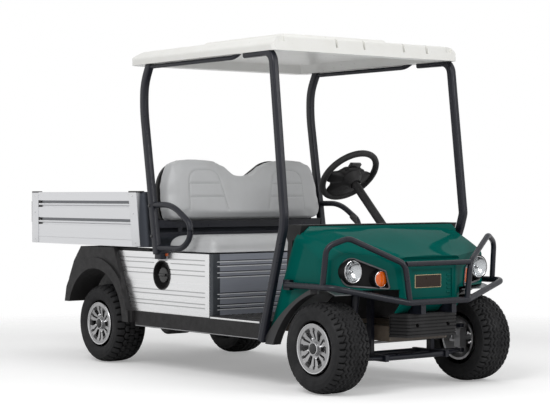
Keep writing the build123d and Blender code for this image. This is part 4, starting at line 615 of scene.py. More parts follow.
for wheel in WHEELS:
    rim = "rim_" + wheel
    body = "wheel_" + wheel
    low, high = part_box(rim)
    centre = (low + high) / 2
    side = 1 if wheel.endswith("left") else -1
    outward = Vector((0, side, 0))
    edge = Vector((centre.x, high.y if side > 0 else low.y, centre.z))
    lip = placed(lathe(LIP_PROFILE, 96), axis_frame(edge, outward))
    add_groups("rim_lip_" + wheel, [lip], body, "rim", "bright_metal")
    hub, normal = surface(rim, centre + outward * RAY_REACH, -outward)
    cap = placed(lathe(CAP_PROFILE, 48), axis_frame(hub, outward), 0)
    ring = placed(lathe(RING_PROFILE, 48), axis_frame(hub, outward), 1)
    add_groups("rim_cap_" + wheel, [cap, ring], body, "plastic_black", "gloss_black", "bright_metal")
    nuts = []
    for index in range(NUT_COUNT):
        angle = math.radians(360 / NUT_COUNT * index + NUT_TURN_DEG)
        spot = centre + NUT_CIRCLE * Vector((math.cos(angle), 0, math.sin(angle))) + outward * RAY_REACH
        nuts.append((surface(rim, spot, -outward)[0], outward))
    heads("rim_nuts_" + wheel, nuts, NUT_RADIUS, NUT_HEIGHT, body, "steel_bare", "bright_metal", 6)
    # Black plates at the pockets' ends: painted shade
    pocket_shades = []
    for half_width, share in POCKET_ENDS:
        flared = POCKET_FLARE * half_width
        outline = [(POCKET_END_FROM, -half_width), (POCKET_END_TO, -flared),
                   (POCKET_END_TO, flared), (POCKET_END_FROM, half_width)]
        pocket_shade = prism(outline, POCKET_SHADE_DEPTH, POCKET_SHADE_ROUND)
        for index in range(POCKET_PAIRS):
            turn = Matrix.Rotation(math.radians(360 / POCKET_PAIRS * (index + share)), 4, "Y")
            spot = centre + turn @ Vector(((POCKET_END_FROM + POCKET_END_TO) / 2, 0, 0)) + outward * RAY_REACH
            pocket_shade_y = surface(rim, spot, -outward)[0].y - POCKET_SHADE_SINK * side
            flat = Matrix.Translation((centre.x, pocket_shade_y, centre.z)) @ turn @ side_frame(side, 0)
            pocket_shades.append(placed(pocket_shade, flat))
    add_groups("rim_pocket_shades_" + wheel, pocket_shades, body, "plastic_black", "gloss_black")

# Seat pads: smaller copies of the solids, blown up by a cloth simulation, then sewn
PAD_VOXEL = 0.009
PAD_SMOOTHING = 10
PAD_PRESSURE = 4.0
PAD_FRAMES = 20
PAD_SHRINK = 0.005
PAD_CALM = 26
PAD_MOVE_MOST = 0.024
HELD_FACING = (0.3, 0.8)
SEAM_DEPTH = 0.0040
SEAM_REACH = 0.0070
SEWN_FACING = -0.2
STITCH_PITCH = 0.010
STITCH_LENGTH = 0.0064
STITCH_RADIUS = 0.0010
STITCH_SIDES = 5


def with_modifiers(piece):
    """A new mesh of a piece as its modifiers leave it."""
    piece_now = piece.evaluated_get(bpy.context.evaluated_depsgraph_get())
    return bpy.data.meshes.new_from_object(piece_now)


def bake(piece):
    """The piece takes the mesh that its modifiers make, and loses them."""
    piece.data = with_modifiers(piece)
    piece.modifiers.clear()


def pad(node, name, rest_normal, fitted_axes):
    """A crowned pad, as large as its CAD solid along the fitted axes, flat on the side where it rests."""
    piece = add_piece(name, nodes[node].data.copy(), "chassis", "vinyl_grey")
    even = piece.modifiers.new("even", "REMESH")
    even.mode = "VOXEL"
    even.voxel_size = PAD_VOXEL
    soften = piece.modifiers.new("soften", "SMOOTH")
    soften.iterations = PAD_SMOOTHING
    bake(piece)
    held = [smoothstep(*HELD_FACING, vertex.normal.dot(rest_normal)) for vertex in piece.data.vertices]
    start = [vertex.co - vertex.normal * PAD_SHRINK for vertex in piece.data.vertices]
    for vertex, place in zip(piece.data.vertices, start):
        vertex.co = place
    cloth = piece.modifiers.new("puff", "CLOTH")
    cloth.settings.use_pressure = True
    cloth.settings.uniform_pressure_force = PAD_PRESSURE
    cloth.settings.effector_weights.gravity = 0.0
    cloth.point_cache.frame_end = PAD_FRAMES
    for step in range(1, PAD_FRAMES + 1):
        scene.frame_set(step)
    blown = [vertex.co.copy() for vertex in with_modifiers(piece).vertices]
    piece.modifiers.clear()
    scene.frame_set(1)
    for vertex, place, end, hold in zip(piece.data.vertices, start, blown, held):
        move = (end - place) * (1 - hold)
        vertex.co = place + move * min(1.0, PAD_MOVE_MOST / max(move.length, 1e-9))
    calm = piece.modifiers.new("calm", "SMOOTH")
    calm.iterations = PAD_CALM
    finer = piece.modifiers.new("finer", "SUBSURF")
    finer.levels = 1
    bake(piece)
    low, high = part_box(node)
    corners = [vertex.co.copy() for vertex in piece.data.vertices]
    for axis in fitted_axes:
        first = min(corner[axis] for corner in corners)
        last = max(corner[axis] for corner in corners)
        scale = (high[axis] - low[axis]) / (last - first)
        for vertex, corner in zip(piece.data.vertices, corners):
            vertex.co[axis] = low[axis] + (corner[axis] - first) * scale
    piece.data.materials.clear()
    piece.data.materials.append(palette["vinyl_grey"])
    piece.data.polygons.foreach_set("use_smooth", [True] * len(piece.data.polygons))
    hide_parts(node)
    return piece


def dense(route):
    """Points along a route, a stitch apart."""
    points = []
    for start, end in zip(route, route[1:]):
        steps = max(round((end - start).length / STITCH_PITCH), 1)
        points += [start.lerp(end, step / steps) for step in range(steps)]
    return points + [route[-1]]


def sew(piece, name, routes, inward):
    """Seams pressed into a pad under routes, seen along inward, with stitches laid in them."""
    lines = [dense(route) for route in routes]
    flat_points = [point - inward * point.dot(inward) for line in lines for point in line]
    tree = KDTree(len(flat_points))
    for index, point in enumerate(flat_points):
        tree.insert(point, index)
    tree.balance()
    facing = [vertex for vertex in piece.data.vertices if vertex.normal.dot(inward) < SEWN_FACING]
    for vertex in facing:
        spot, index, gap = tree.find(vertex.co - inward * vertex.co.dot(inward))
        vertex.co += inward * SEAM_DEPTH * math.exp(-(gap / SEAM_REACH) ** 2)
    bpy.context.view_layer.update()
    stitches = []
    for line in lines:
        for point, after in zip(line, line[1:]):
            hit, place, normal, face = piece.ray_cast(point - inward * RAY_REACH, inward)
            if hit:
                half = (after - point).normalized() * STITCH_LENGTH / 2
                arc = [place - half, place + normal * STITCH_RADIUS / 2, place + half]
                stitches.append((*swept(arc, STITCH_RADIUS, STITCH_SIDES), 0))
    return add_groups(name, stitches, "chassis", "vinyl_grey", "thread_grey")


CUSHION_SETTLE = 0.86
SEAM_INSET = 0.070
SEAM_REAR_INSET = 0.02
SEAM_CORNER = 0.045
SEAM_CORNER_CUT = 0.3 * SEAM_CORNER
cushion = pad("seat_cushion", "seat_cushion_pad", Vector((0, 0, -1)), (0, 1))
low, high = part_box("seat_cushion")
seam_front = high.x - SEAM_INSET
seam_side = high.y - SEAM_INSET
half_seam = [
    # forward, across
    (low.x + SEAM_REAR_INSET, -seam_side),
    (seam_front - SEAM_CORNER, -seam_side),
    (seam_front - SEAM_CORNER_CUT, -seam_side + SEAM_CORNER_CUT),
    (seam_front, -seam_side + SEAM_CORNER),
]
seam = half_seam + [(x, -y) for x, y in reversed(half_seam)]
for vertex in cushion.data.vertices:
    vertex.co.z = low.z + (vertex.co.z - low.z) * CUSHION_SETTLE
sew(cushion, "seat_cushion_stitches", [[Vector((x, y, high.z)) for x, y in seam]], Vector((0, 0, -1)))

BACK_FOOT = Vector((-0.060, 0.0, 0.866))
BACK_LEAN_DEG = 9.0
BACK_SEAMS = (
    # places along each seam: across from the middle, up from the pad's foot
    ((0.418, 0.055), (0.412, 0.215), (0.402, 0.252), (0.378, 0.276), (0.345, 0.285), (0.255, 0.285),
     (0.222, 0.276), (0.200, 0.252), (0.189, 0.215), (0.148, 0.055)),
    ((0.412, 0.206), (0.187, 0.206)),
    ((0.415, 0.128), (0.167, 0.128)),
)
BACK_ARCH = (
    # across from the middle, drop below the top of the hump
    (0.000, 0.096), (0.033, 0.092), (0.079, 0.073), (0.135, 0.040), (0.210, 0.011), (0.320, 0.000),
    (0.440, 0.007), (0.500, 0.026), (0.536, 0.055), (0.570, 0.110),
)
ARCH_COLUMN = 0.012
ARCH_FROM = 0.45
ARCH_MOVE_MOST = 0.024
ARCH_FADE_Y = (0.500, 0.545)


def arch_top(piece, node):
    """The pad's top edge drawn to the two humps of the table, with the lower half left as it is."""
    low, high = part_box(node)
    tops = {}
    for vertex in piece.data.vertices:
        column = round(abs(vertex.co.y) / ARCH_COLUMN)
        tops[column] = max(tops.get(column, 0.0), vertex.co.z)
    for vertex in piece.data.vertices:
        across = abs(vertex.co.y)
        column = min(int(across / ARCH_COLUMN), max(tops) - 1)
        top = tops[column] + (tops[column + 1] - tops[column]) * (across / ARCH_COLUMN - column)
        move = high.z - from_table(BACK_ARCH, across, straight) - top
        move = max(-ARCH_MOVE_MOST, min(ARCH_MOVE_MOST, move)) * (1 - smoothstep(*ARCH_FADE_Y, across))
        vertex.co.z += move * smoothstep(ARCH_FROM, 1.0, (vertex.co.z - low.z) / (top - low.z))


lean = math.radians(BACK_LEAN_DEG)
back_up = Vector((-math.sin(lean), 0, math.cos(lean)))
back_inward = Vector((-math.cos(lean), 0, -math.sin(lean)))
seat_back = pad("seat_back", "seat_back_pad", Vector((-1, 0, 0)), (1, 2))
arch_top(seat_back, "seat_back")
routes = []
for side in SIDES:
    for seam in BACK_SEAMS:
        routes.append([BACK_FOOT + back_up * up + Vector((0, across * side, 0)) for across, up in seam])
sew(seat_back, "seat_back_stitches", routes, back_inward)

# Lamps: faceted mirrors and bulbs behind clear and amber lenses in thin bright rims
LAMPS_AT = (
    # across, height, lens radius, front of the lens, material number of the lens, facets round the mirror
    (0.441, 0.620, 0.057, 1.396, 0, 20),
    (0.298, 0.581, 0.042, 1.447, 1, 14),
)
LENS_BULGE = 0.007
LENS_RIM = 0.0022
RIM_STEPS = 8
MIRROR_DEPTH = 0.018
MIRROR_SHARES = (1.0, 0.8, 0.6, 0.4, 0.2)
BULB_RADIUS = 0.010
QUARTER = [math.pi / 2 * step / 8 for step in range(8, 0, -1)]
lens_groups = []
mirror_groups = []
for side in SIDES:
    for across, height, radius, front, number, facets in LAMPS_AT:
        place = axis_frame((front, across * side, height), (1, 0, 0))
        inner = radius - LENS_RIM
        lens = [(inner * math.sin(turn), LENS_BULGE * math.cos(turn)) for turn in QUARTER]
        lens.append((POLE, LENS_BULGE))
        rim = []
        for step in range(RIM_STEPS + 1):
            turn = 2 * math.pi * step / RIM_STEPS
            rim.append((inner + LENS_RIM * math.cos(turn), LENS_RIM * math.sin(turn)))
        bulb = []
        for turn in QUARTER:
            bulb.append((BULB_RADIUS * math.sin(turn), BULB_RADIUS * math.cos(turn) - MIRROR_DEPTH))
        bowl = [(inner * share, -MIRROR_DEPTH * (1 - share ** 2) - LENS_RIM) for share in MIRROR_SHARES]
        lens_groups.append(placed(lathe(lens, 48), place, number))
        lens_groups.append(placed(lathe(rim, 48), place, 2))
        lens_groups.append(placed(lathe(bulb, 20), place, 2))
        mirror_groups.append(placed(lathe(bowl, facets), place))
lenses = add_groups("lamp_lenses", lens_groups, "chassis", "lamp_clear",
                    "lens_clear", "lens_amber", "bright_metal")
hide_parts("lamps")
add_groups("lamp_mirrors", mirror_groups, "chassis", "rim", "lamp_mirror", crease_deg=8.0)

# Bezels: a grey rim on the front face of each frame
RIM_SKIN = 0.0012
RIM_FACE_DEPTH = 0.002
SLANT_LEAST = 0.5
SLANT_MOST = 0.97
SAME_FACING = 0.99
bezel = nodes["lamp_bezels"].data
for side, name in zip(SIDES, ("bezel_rim_left", "bezel_rim_right")):
    flats = [face for face in bezel.polygons
             if face.center.y * side > 0 and SLANT_LEAST < face.normal.x < SLANT_MOST]
    outward = max(flats, key=lambda face: face.area).normal.copy()
    flats = [face for face in flats if face.normal.dot(outward) > SAME_FACING]
    front = max(face.center.dot(outward) for face in flats)
    ring = [face for face in flats if face.center.dot(outward) > front - RIM_FACE_DEPTH]
    numbers = sorted({number for face in ring for number in face.vertices})
    order = {number: index for index, number in enumerate(numbers)}
    rim_mesh = mesh_from(name, [bezel.vertices[number].co for number in numbers],
                         [tuple(order[number] for number in face.vertices) for face in ring])
    rim = add_piece(name, rim_mesh, "chassis", "plastic_black", "bezel_grey")
    skin = rim.modifiers.new("skin", "SOLIDIFY")
    skin.thickness = RIM_SKIN
    skin.offset = 1.0
    bake(rim)

# Nose: a blank plate in a bright frame with moulded bars beside it
NOSE_X = 1.498
NOSE_BACK_X = NOSE_X - 0.004
PLATE_Y = (-0.113, 0.064)
PLATE_Z = (0.533, 0.595)
PLATE_RISE = 0.003
FRAME_WIDTH = 0.003
FRAME_RISE = PLATE_RISE - 0.001
BAR_Y = (0.106, 0.134)
BAR_HEIGHTS = (0.498, 0.520, 0.542, 0.564, 0.586)
BAR_HEIGHT = 0.012
BAR_RISE = 0.004
frame_low = (NOSE_BACK_X, PLATE_Y[0] - FRAME_WIDTH, PLATE_Z[0] - FRAME_WIDTH)
frame_high = (NOSE_X + FRAME_RISE, PLATE_Y[1] + FRAME_WIDTH, PLATE_Z[1] + FRAME_WIDTH)
plate = ((NOSE_BACK_X, PLATE_Y[0], PLATE_Z[0]), (NOSE_X + PLATE_RISE, PLATE_Y[1], PLATE_Z[1]))
bars = []
for height in BAR_HEIGHTS:
    bars.append(((NOSE_BACK_X, BAR_Y[0], height), (NOSE_X + BAR_RISE, BAR_Y[1], height + BAR_HEIGHT)))
plates("nose_frame", [(frame_low, frame_high)], 0.002, "chassis", "rim", "plate_gold")
plates("nose_plate", [plate], 0.0015, "chassis", "plastic_black", "plate_brown")
plates("nose_bars", bars, 0.003, "chassis", "body_green", "body_green")

# Cowl: the raised rear edge along the dash
COWL_EDGE_X = 1.1185
COWL_EDGE = ((-0.540, 0.760), (0.540, 0.760), (0.533, 0.820),
             (0.500, 0.845), (-0.500, 0.845), (-0.533, 0.820))
COWL_EDGE_THICKNESS = 0.006
across_frame = Matrix(((0, 0, 1, COWL_EDGE_X), (1, 0, 0, 0), (0, 1, 0, 0), (0, 0, 0, 1)))
cowl_edge = placed(prism(COWL_EDGE, COWL_EDGE_THICKNESS, 0.0015), across_frame)
add_groups("cowl_edge", [cowl_edge], "chassis", "body_green", "body_green")

# Bed: corner posts, beads along the grooves, dark plates that paint the shade on the grooves' floors, end
# plugs, caps, rivets and the tailgate's ribs
BED_SIDE_Y = 0.590
BED_REAR_X = -1.570
BED_TOP_Z = 1.024
REAR_POST = ((-1.568, 0.708), (-1.488, 0.708), (-1.488, 1.021), (-1.568, 1.021))
FRONT_POST = ((-0.400, 0.708), (-0.318, 0.708), (-0.356, 1.021), (-0.441, 1.021))
POST_RISE = 0.0028
POST_SINK = 0.003
GROOVES = (0.951, 0.844)
GROOVE_X = (-1.486, -0.416)
GROOVE_FLOOR_Y = BED_SIDE_Y - 0.010
BEAD_Y = BED_SIDE_Y - 0.0065
BEAD_SIZE = 0.0085
BEAD_DROP = 0.003
FLOOR_FROM = 0.004
FLOOR_TO = 0.020
PLUG_X = (-1.488, -1.458)
PLUG_Y = (GROOVE_FLOOR_Y, BED_SIDE_Y - 0.001)
PLUG_HALF_HEIGHT = 0.020
CAPS_X = ((-1.566, -1.490), (-0.440, -0.318))
CAP_Y = (BED_SIDE_Y - 0.030, BED_SIDE_Y + 0.004)
CAP_Z = (BED_TOP_Z - 0.004, BED_TOP_Z + 0.005)
HEM_X = (-1.488, -0.404)
HEM_Z = 0.745
HEM_SIZE = 0.0022
RIVETS_AT = (
    # forward, height
    (-1.528, 0.728), (-1.528, 0.897), (-1.528, 1.000), (-0.366, 0.728), (-0.388, 0.897), (-0.400, 1.000),
)
RIVET_RADIUS = 0.0045
RIVET_HEIGHT = 0.0022
GATE_RIBS = (0.800, 0.868, 0.936)
GATE_RIB_HEIGHT = 0.034
GATE_RIB_HALF = 0.520
GATE_RIB_X = (BED_REAR_X - 0.004, BED_REAR_X + 0.002)
posts = []
beads = []
bed_groove_shade_plates = []
plugs = []
rivets = []
caps = []
for side in SIDES:
    for outline in (REAR_POST, FRONT_POST):
        post = prism(outline, POST_RISE + POST_SINK, 0.0012)
        posts.append(placed(post, side_frame(side, BED_SIDE_Y - POST_SINK)))
    for height in GROOVES:
        line = [Vector((x, BEAD_Y * side, height - BEAD_DROP)) for x in GROOVE_X]
        beads.append((*swept(line, BEAD_SIZE, 12), 0))
        # Dark plates on the grooves' floors: painted shade
        floor_z = (height + FLOOR_FROM, height + FLOOR_TO)
        bed_groove_shade_plates.append(on_side(side, GROOVE_X, (GROOVE_FLOOR_Y, BEAD_Y), floor_z))
        plugs.append(on_side(side, PLUG_X, PLUG_Y, (height - PLUG_HALF_HEIGHT, height + PLUG_HALF_HEIGHT)))
    rivets += [((x, (BED_SIDE_Y + POST_RISE) * side, height), (0, side, 0)) for x, height in RIVETS_AT]
    caps += [on_side(side, cap_x, CAP_Y, CAP_Z) for cap_x in CAPS_X]
    hem = [Vector((x, BED_SIDE_Y * side, HEM_Z)) for x in HEM_X]
    beads.append((*swept(hem, HEM_SIZE, 8), 0))
gate_ribs = []
for height in GATE_RIBS:
    gate_ribs.append(across_middle(GATE_RIB_X, GATE_RIB_HALF, (height, height + GATE_RIB_HEIGHT)))
add_groups("bed_posts", posts, "bed", "aluminium_panel", "bed_metal")
add_groups("bed_beads", beads, "bed", "aluminium_panel", "bed_metal")
plates("bed_groove_shades", bed_groove_shade_plates, 0.001, "bed", "aluminium_panel", "groove_shade_metal")
plates("bed_plugs", plugs, 0.002, "bed", "plastic_black", "black_plastic")
heads("bed_rivets", rivets, RIVET_RADIUS, RIVET_HEIGHT, "bed", "rim", "bright_metal")
plates("bed_caps", caps, 0.003, "bed", "plastic_black", "black_plastic")
plates("tailgate_ribs", gate_ribs, 0.0025, "tailgate", "aluminium_panel", "bed_metal")

# Steering wheel: the cover that fills the lower half, the grip and a clip on the pad
WHEEL_CENTRE = Vector((0.486, 0.310, 1.116))
WHEEL_TILT_DEG = 44.5
COVER_REACH = (
    # degrees from the wheel's lowest point, reach from the hub
    (0, 0.162), (38, 0.160), (50, 0.128), (62, 0.122), (74, 0.150), (96, 0.150), (108, 0.100), (140, 0.074),
    (180, 0.068),
)
COVER_RINGS = (
    # share of the reach, rise towards the driver
    (0.01, -0.030), (0.40, -0.030), (0.70, -0.024), (0.92, -0.013), (0.99, -0.006), (1.0, 0.002),
    (0.96, 0.009), (0.60, 0.014), (0.01, 0.015),
)
COVER_STEPS = 96
BOSS_PROFILE = ((0.064, -0.026), (0.058, -0.040), (0.043, -0.056), (0.034, -0.074), (0.0305, -0.074),
                (0.040, -0.054), (0.054, -0.036), (0.064, -0.026))
GRIP_CIRCLE = 0.172
GRIP_SLEEVE = 0.0185
GRIP_STEPS = 16
CLIP_UP = 0.074
CLIP_RISE = 0.004
CLIP_SIZE = Vector((0.034, 0.078, 0.020))
CLIP_ROUND = 0.005
tilt = math.radians(WHEEL_TILT_DEG)
wheel_axis = Vector((-math.cos(tilt), 0, math.sin(tilt)))
wheel_down = Vector((-math.sin(tilt), 0, -math.cos(tilt)))
wheel_place = axis_frame(WHEEL_CENTRE, wheel_axis)
points = []
for share, rise in COVER_RINGS:
    for step in range(COVER_STEPS):
        degrees = 360 * step / COVER_STEPS
        turn = math.radians(degrees)
        spoke = wheel_down * math.cos(turn) + Vector((0, math.sin(turn), 0))
        reach = from_table(COVER_REACH, min(degrees, 360 - degrees), smoothstep)
        points.append(WHEEL_CENTRE + spoke * reach * share + wheel_axis * rise)
cover = (points, grid_faces(len(COVER_RINGS), COVER_STEPS, wrap_columns=True), 0)
boss = placed(lathe(BOSS_PROFILE, 48), wheel_place)
add_groups("steering_cover", [cover, boss], "steering_wheel", "plastic_black", "black_plastic")
sleeve = []
for step in range(GRIP_STEPS + 1):
    turn = 2 * math.pi * step / GRIP_STEPS
    sleeve.append((GRIP_CIRCLE + GRIP_SLEEVE * math.cos(turn), GRIP_SLEEVE * math.sin(turn)))
grip = placed(lathe(sleeve, 96), wheel_place)
add_groups("steering_grip", [grip], "steering_wheel", "plastic_black", "mat_rubber")
clip_turn = Matrix((wheel_down, Vector((0, 1, 0)), wheel_axis)).transposed().to_4x4()
clip_place = Matrix.Translation(WHEEL_CENTRE - wheel_down * CLIP_UP + wheel_axis * CLIP_RISE) @ clip_turn
clip = placed(rounded_box(CLIP_SIZE, CLIP_ROUND), clip_place)
add_groups("steering_clip", [clip], "steering_wheel", "plastic_black", "gloss_black")

# Dash: shift lever and two switches
LEVER_ROUTE = (Vector((0.990, -0.060, 0.838)), Vector((0.972, -0.060, 0.858)), Vector((0.962, -0.060, 0.872)))
LEVER_RADIUS = 0.006
KNOB_PROFILE = ((0.007, -0.020), (0.011, -0.006), (0.0160, 0.010), (0.0190, 0.022), (0.0150, 0.032),
                (POLE, 0.036))
SWITCH_PROFILE = ((0.016, -0.004), (0.016, 0.004), (0.012, 0.007), (0.011, 0.004), (POLE, 0.004))
SWITCHES_Y = (0.130, 0.060)
SWITCH_Z = 0.825
DASH_SIGHT_X = 0.7
lever = (*swept(LEVER_ROUTE, LEVER_RADIUS, 12), 0)
knob = placed(lathe(KNOB_PROFILE, 28), axis_frame(LEVER_ROUTE[-1], LEVER_ROUTE[-1] - LEVER_ROUTE[-2]))
add_groups("shift_lever", [lever, knob], "chassis", "plastic_black", "black_plastic")
switches = []
for y in SWITCHES_Y:
    seat = surface("dash", (DASH_SIGHT_X, y, SWITCH_Z), (1, 0, 0))
    switches.append(placed(lathe(SWITCH_PROFILE, 32), axis_frame(*seat)))
add_groups("dash_switches", switches, "chassis", "rim", "bright_metal")

# Panels: dark plates that paint the shade on the floors of the grooves, broken at the filler, and bright
# plates that paint a highlight on the lips of the heel panel's grooves
PANEL_LINES = (0.378, 0.400, 0.439, 0.463, 0.555, 0.581, 0.616, 0.641)
LINE_HEIGHT = 0.006
LINE_SINK = (0.0035, 0.0012)
LIP_HEIGHT = 0.006
LIP_DROP = 0.0005
PANEL_Y = 0.570
PANEL_LOW_Z = 0.333
PANEL_REAR_LOW = -0.392
PANEL_REAR_SLOPE = -0.37
PANEL_LINE_END = 0.300
HEEL_X = 0.352
HEEL_HALF = 0.526
HEEL_LINE_X = (HEEL_X - LINE_SINK[0], HEEL_X - LINE_SINK[1])
HEEL_LIP_X = (HEEL_X - 0.002, HEEL_X + 0.0012)
FILLER_X = -0.126
FILLER_Z = 0.550
FILLER_REACH = 0.086
# Plates sunk in each groove: painted shade
line_y = (PANEL_Y - LINE_SINK[0], PANEL_Y - LINE_SINK[1])
panel_groove_shades = []
heel_groove_shades = []
heel_lip_highlights = []
for rise in PANEL_LINES:
    line_z = (rise, rise + LINE_HEIGHT)
    heel_groove_shades.append(across_middle(HEEL_LINE_X, HEEL_HALF, line_z))
    # A bright strip under each heel groove: painted highlight
    heel_lip_highlights.append(across_middle(HEEL_LIP_X, HEEL_HALF, (rise - LIP_HEIGHT, rise - LIP_DROP)))
    rear_x = PANEL_REAR_LOW + (rise - PANEL_LOW_Z) * PANEL_REAR_SLOPE
    panel_groove_shades.append(on_side(1, (rear_x, PANEL_LINE_END), line_y, line_z))
    if abs(rise - FILLER_Z) < FILLER_REACH:
        panel_groove_shades.append(on_side(-1, (rear_x, FILLER_X - FILLER_REACH), line_y, line_z))
        panel_groove_shades.append(on_side(-1, (FILLER_X + FILLER_REACH, PANEL_LINE_END), line_y, line_z))
    else:
        panel_groove_shades.append(on_side(-1, (rear_x, PANEL_LINE_END), line_y, line_z))
plates("side_panel_groove_shades", panel_groove_shades, 0.0005, "chassis", "aluminium_panel", "line_shade_metal")
plates("heel_panel_groove_shades", heel_groove_shades, 0.0005, "chassis", "aluminium_panel", "groove_shade_metal")
plates("heel_panel_lip_highlights", heel_lip_highlights, 0.001, "chassis", "aluminium_panel", "lip_highlight_metal")

# Single plates on each side: sill trim, rests under the bed, fender liners, reflectors, brackets, latches
MIRRORED_PLATES = (
    # name, body, ends along X, ends outward of the middle, ends in height, rounding, slot, material
    ("sill_strips", "chassis", (-0.385, 0.790), (0.576, 0.5805), (0.247, 0.251), 0.001,
     "steel_bare", "steel_bare"),
    ("sill_scuffs", "chassis", (0.356, 0.800), (0.518, 0.5805), (0.331, 0.341), 0.002,
     "rim", "panel_metal"),
    ("bed_rests", "chassis", (-0.660, -0.270), (0.505, 0.562), (0.678, 0.6975), 0.004,
     "plastic_black", "black_plastic"),
    ("rear_liners", "chassis", (-1.200, -0.480), (0.346, 0.352), (0.430, 0.672), 0.002,
     "plastic_black", "black_plastic"),
    ("side_reflectors", "chassis", (-0.141, -0.070), (0.568, 0.578), (0.660, 0.675), 0.003,
     "lamp_clear", "lens_amber"),
    ("side_brackets", "chassis", (-0.162, -0.071), (0.568, 0.574), (0.632, 0.659), 0.0015,
     "steel_bare", "steel_bare"),
    ("bed_latches", "bed", (-1.578, -1.566), (0.565, 0.590), (0.833, 0.967), 0.003,
     "plastic_black", "black_plastic"),
)
for name, body, x_ends, y_ends, z_ends, round_by, slot, coat in MIRRORED_PLATES:
    corners = [on_side(side, x_ends, y_ends, z_ends) for side in SIDES]
    plates(name, corners, round_by, body, slot, coat)

# Floor mat: a sheet with raised bars that slant each way in turn
MAT_LOW = Vector((0.385, -0.500, 0.344))
MAT_HIGH = Vector((0.860, 0.500, 0.3485))
MAT_ROWS = 14
MAT_COLUMNS = 30
MAT_BAR = Vector((0.024, 0.006, 0.005))
MAT_BAR_SLANT_DEG = 45
mat_groups = [between(MAT_LOW, MAT_HIGH, 0.0015)]
mat_bar = rounded_box(MAT_BAR, 0.002, 1)
for row in range(MAT_ROWS):
    for column in range(MAT_COLUMNS):
        x = MAT_LOW.x + (row + 0.5) / MAT_ROWS * (MAT_HIGH.x - MAT_LOW.x)
        y = MAT_LOW.y + (column + 0.5) / MAT_COLUMNS * (MAT_HIGH.y - MAT_LOW.y)
        slant = MAT_BAR_SLANT_DEG if (row + column) % 2 else -MAT_BAR_SLANT_DEG
        turn = Matrix.Rotation(math.radians(slant), 4, "Z")
        mat_groups.append(placed(mat_bar, Matrix.Translation((x, y, MAT_HIGH.z)) @ turn))
add_groups("floor_mat", mat_groups, "chassis", "plastic_black", "mat_rubber")

# Rear struts: the same posts and rails as the solids, with smooth bends
REAR_STRUT_Y = 0.612
STRUT_HALF_WIDTH = 0.019
STRUT_HALF_DEPTH = 0.023
STRUT_ROUND = 0.009
STRUT_LINE = ((-0.176, 1.754), (-0.236, 1.638), (-0.240, 1.490), (-0.108, 0.672))
STRUT_BEND = 0.10
GRAB_LINE = ((-0.188, 1.736), (0.634, 1.736), (0.712, 1.776))
GRAB_BEND = 0.05
GRAB_RADIUS = 0.0125
HIP_LINE = ((-0.152, 0.950), (0.040, 0.952), (0.216, 0.850), (0.216, 0.766), (0.140, 0.706), (-0.112, 0.706))
HIP_BEND = 0.085
HIP_RADIUS = 0.0165
FOOT_X = (-0.138, -0.078)
FOOT_Z = (0.642, 0.682)
BEND_STEPS = 8
BEND_SHARE_MOST = 0.48
CORNER_STEPS = 4
CORNERS = (
    # way across, way out, degrees at which the corner starts
    (1, 1, 0), (-1, 1, 90), (-1, -1, 180), (1, -1, 270),
)


def bent(line, cut, y):
    """A route through the corners of a line in X and Z, each corner rounded over a length on both sides."""
    corners = [Vector((x, y, z)) for x, z in line]
    route = [corners[0]]
    for before, corner, after in zip(corners, corners[1:], corners[2:]):
        shorter = min((corner - before).length, (after - corner).length)
        reach = min(cut, BEND_SHARE_MOST * shorter)
        first = corner + (before - corner).normalized() * reach
        last = corner + (after - corner).normalized() * reach
        for step in range(BEND_STEPS + 1):
            share = step / BEND_STEPS
            route.append(first.lerp(corner, share).lerp(corner.lerp(last, share), share))
    return route + [corners[-1]]


def flat_tube(route):
    """Points and faces of a strut's post along a route: a rounded rectangle whose width runs across."""
    section = []
    for way_across, way_out, start in CORNERS:
        for step in range(CORNER_STEPS + 1):
            turn = math.radians(start + 90 * step / CORNER_STEPS)
            section.append((way_across * (STRUT_HALF_WIDTH - STRUT_ROUND) + STRUT_ROUND * math.cos(turn),
                            way_out * (STRUT_HALF_DEPTH - STRUT_ROUND) + STRUT_ROUND * math.sin(turn)))
    points = []
    for index, point in enumerate(route):
        along = route[min(index + 1, len(route) - 1)] - route[max(index - 1, 0)]
        normal = Vector((0, 1, 0)).cross(along).normalized()
        points += [point + Vector((0, across, 0)) + normal * out for across, out in section]
    return points, tube_faces(len(route), len(section))


for side, strut in zip(SIDES, ("rear_strut_left", "rear_strut_right")):
    y = REAR_STRUT_Y * side
    post = (*flat_tube(bent(STRUT_LINE, STRUT_BEND, y)), 0)
    grab = (*swept(bent(GRAB_LINE, GRAB_BEND, y), GRAB_RADIUS, 16), 0)
    hip = (*swept(bent(HIP_LINE, HIP_BEND, y), HIP_RADIUS, 20), 0)
    foot = between(*on_side(side, FOOT_X, (PANEL_Y, REAR_STRUT_Y), FOOT_Z), 0.003)
    bent_strut = add_groups("bent_" + strut, [post, grab, hip, foot], "chassis", "steel_black", "powder_coat")
    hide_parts(strut)

# Bolts on the struts, and the filler's grip
STRUT_BOLTS = (
    # forward, height
    (-0.162, 0.945), (-0.139, 0.772),
)
BOLT_RADIUS = 0.009
BOLT_HEIGHT = 0.005
FILLER_PROFILE = ((0.042, -0.010), (0.045, -0.002), (0.042, 0.003), (0.030, 0.004), (POLE, 0.0045))
FILLER_LOBES = 16
FILLER_WAVE = 0.035
FILLER_WAVE_FROM = 0.040
HANDLE_SIZE = Vector((0.064, 0.016, 0.016))
HANDLE_ROUND = 0.005
HANDLE_RISE = 0.008
strut_bolts = []
for side in SIDES:
    for x, height in STRUT_BOLTS:
        strut_bolts.append(((x, (REAR_STRUT_Y + STRUT_HALF_WIDTH) * side, height), (0, side, 0)))
heads("strut_bolts", strut_bolts, BOLT_RADIUS, BOLT_HEIGHT, "chassis", "steel_black", "gloss_black")
low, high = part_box("filler_cap")
cap_middle = (low + high) / 2
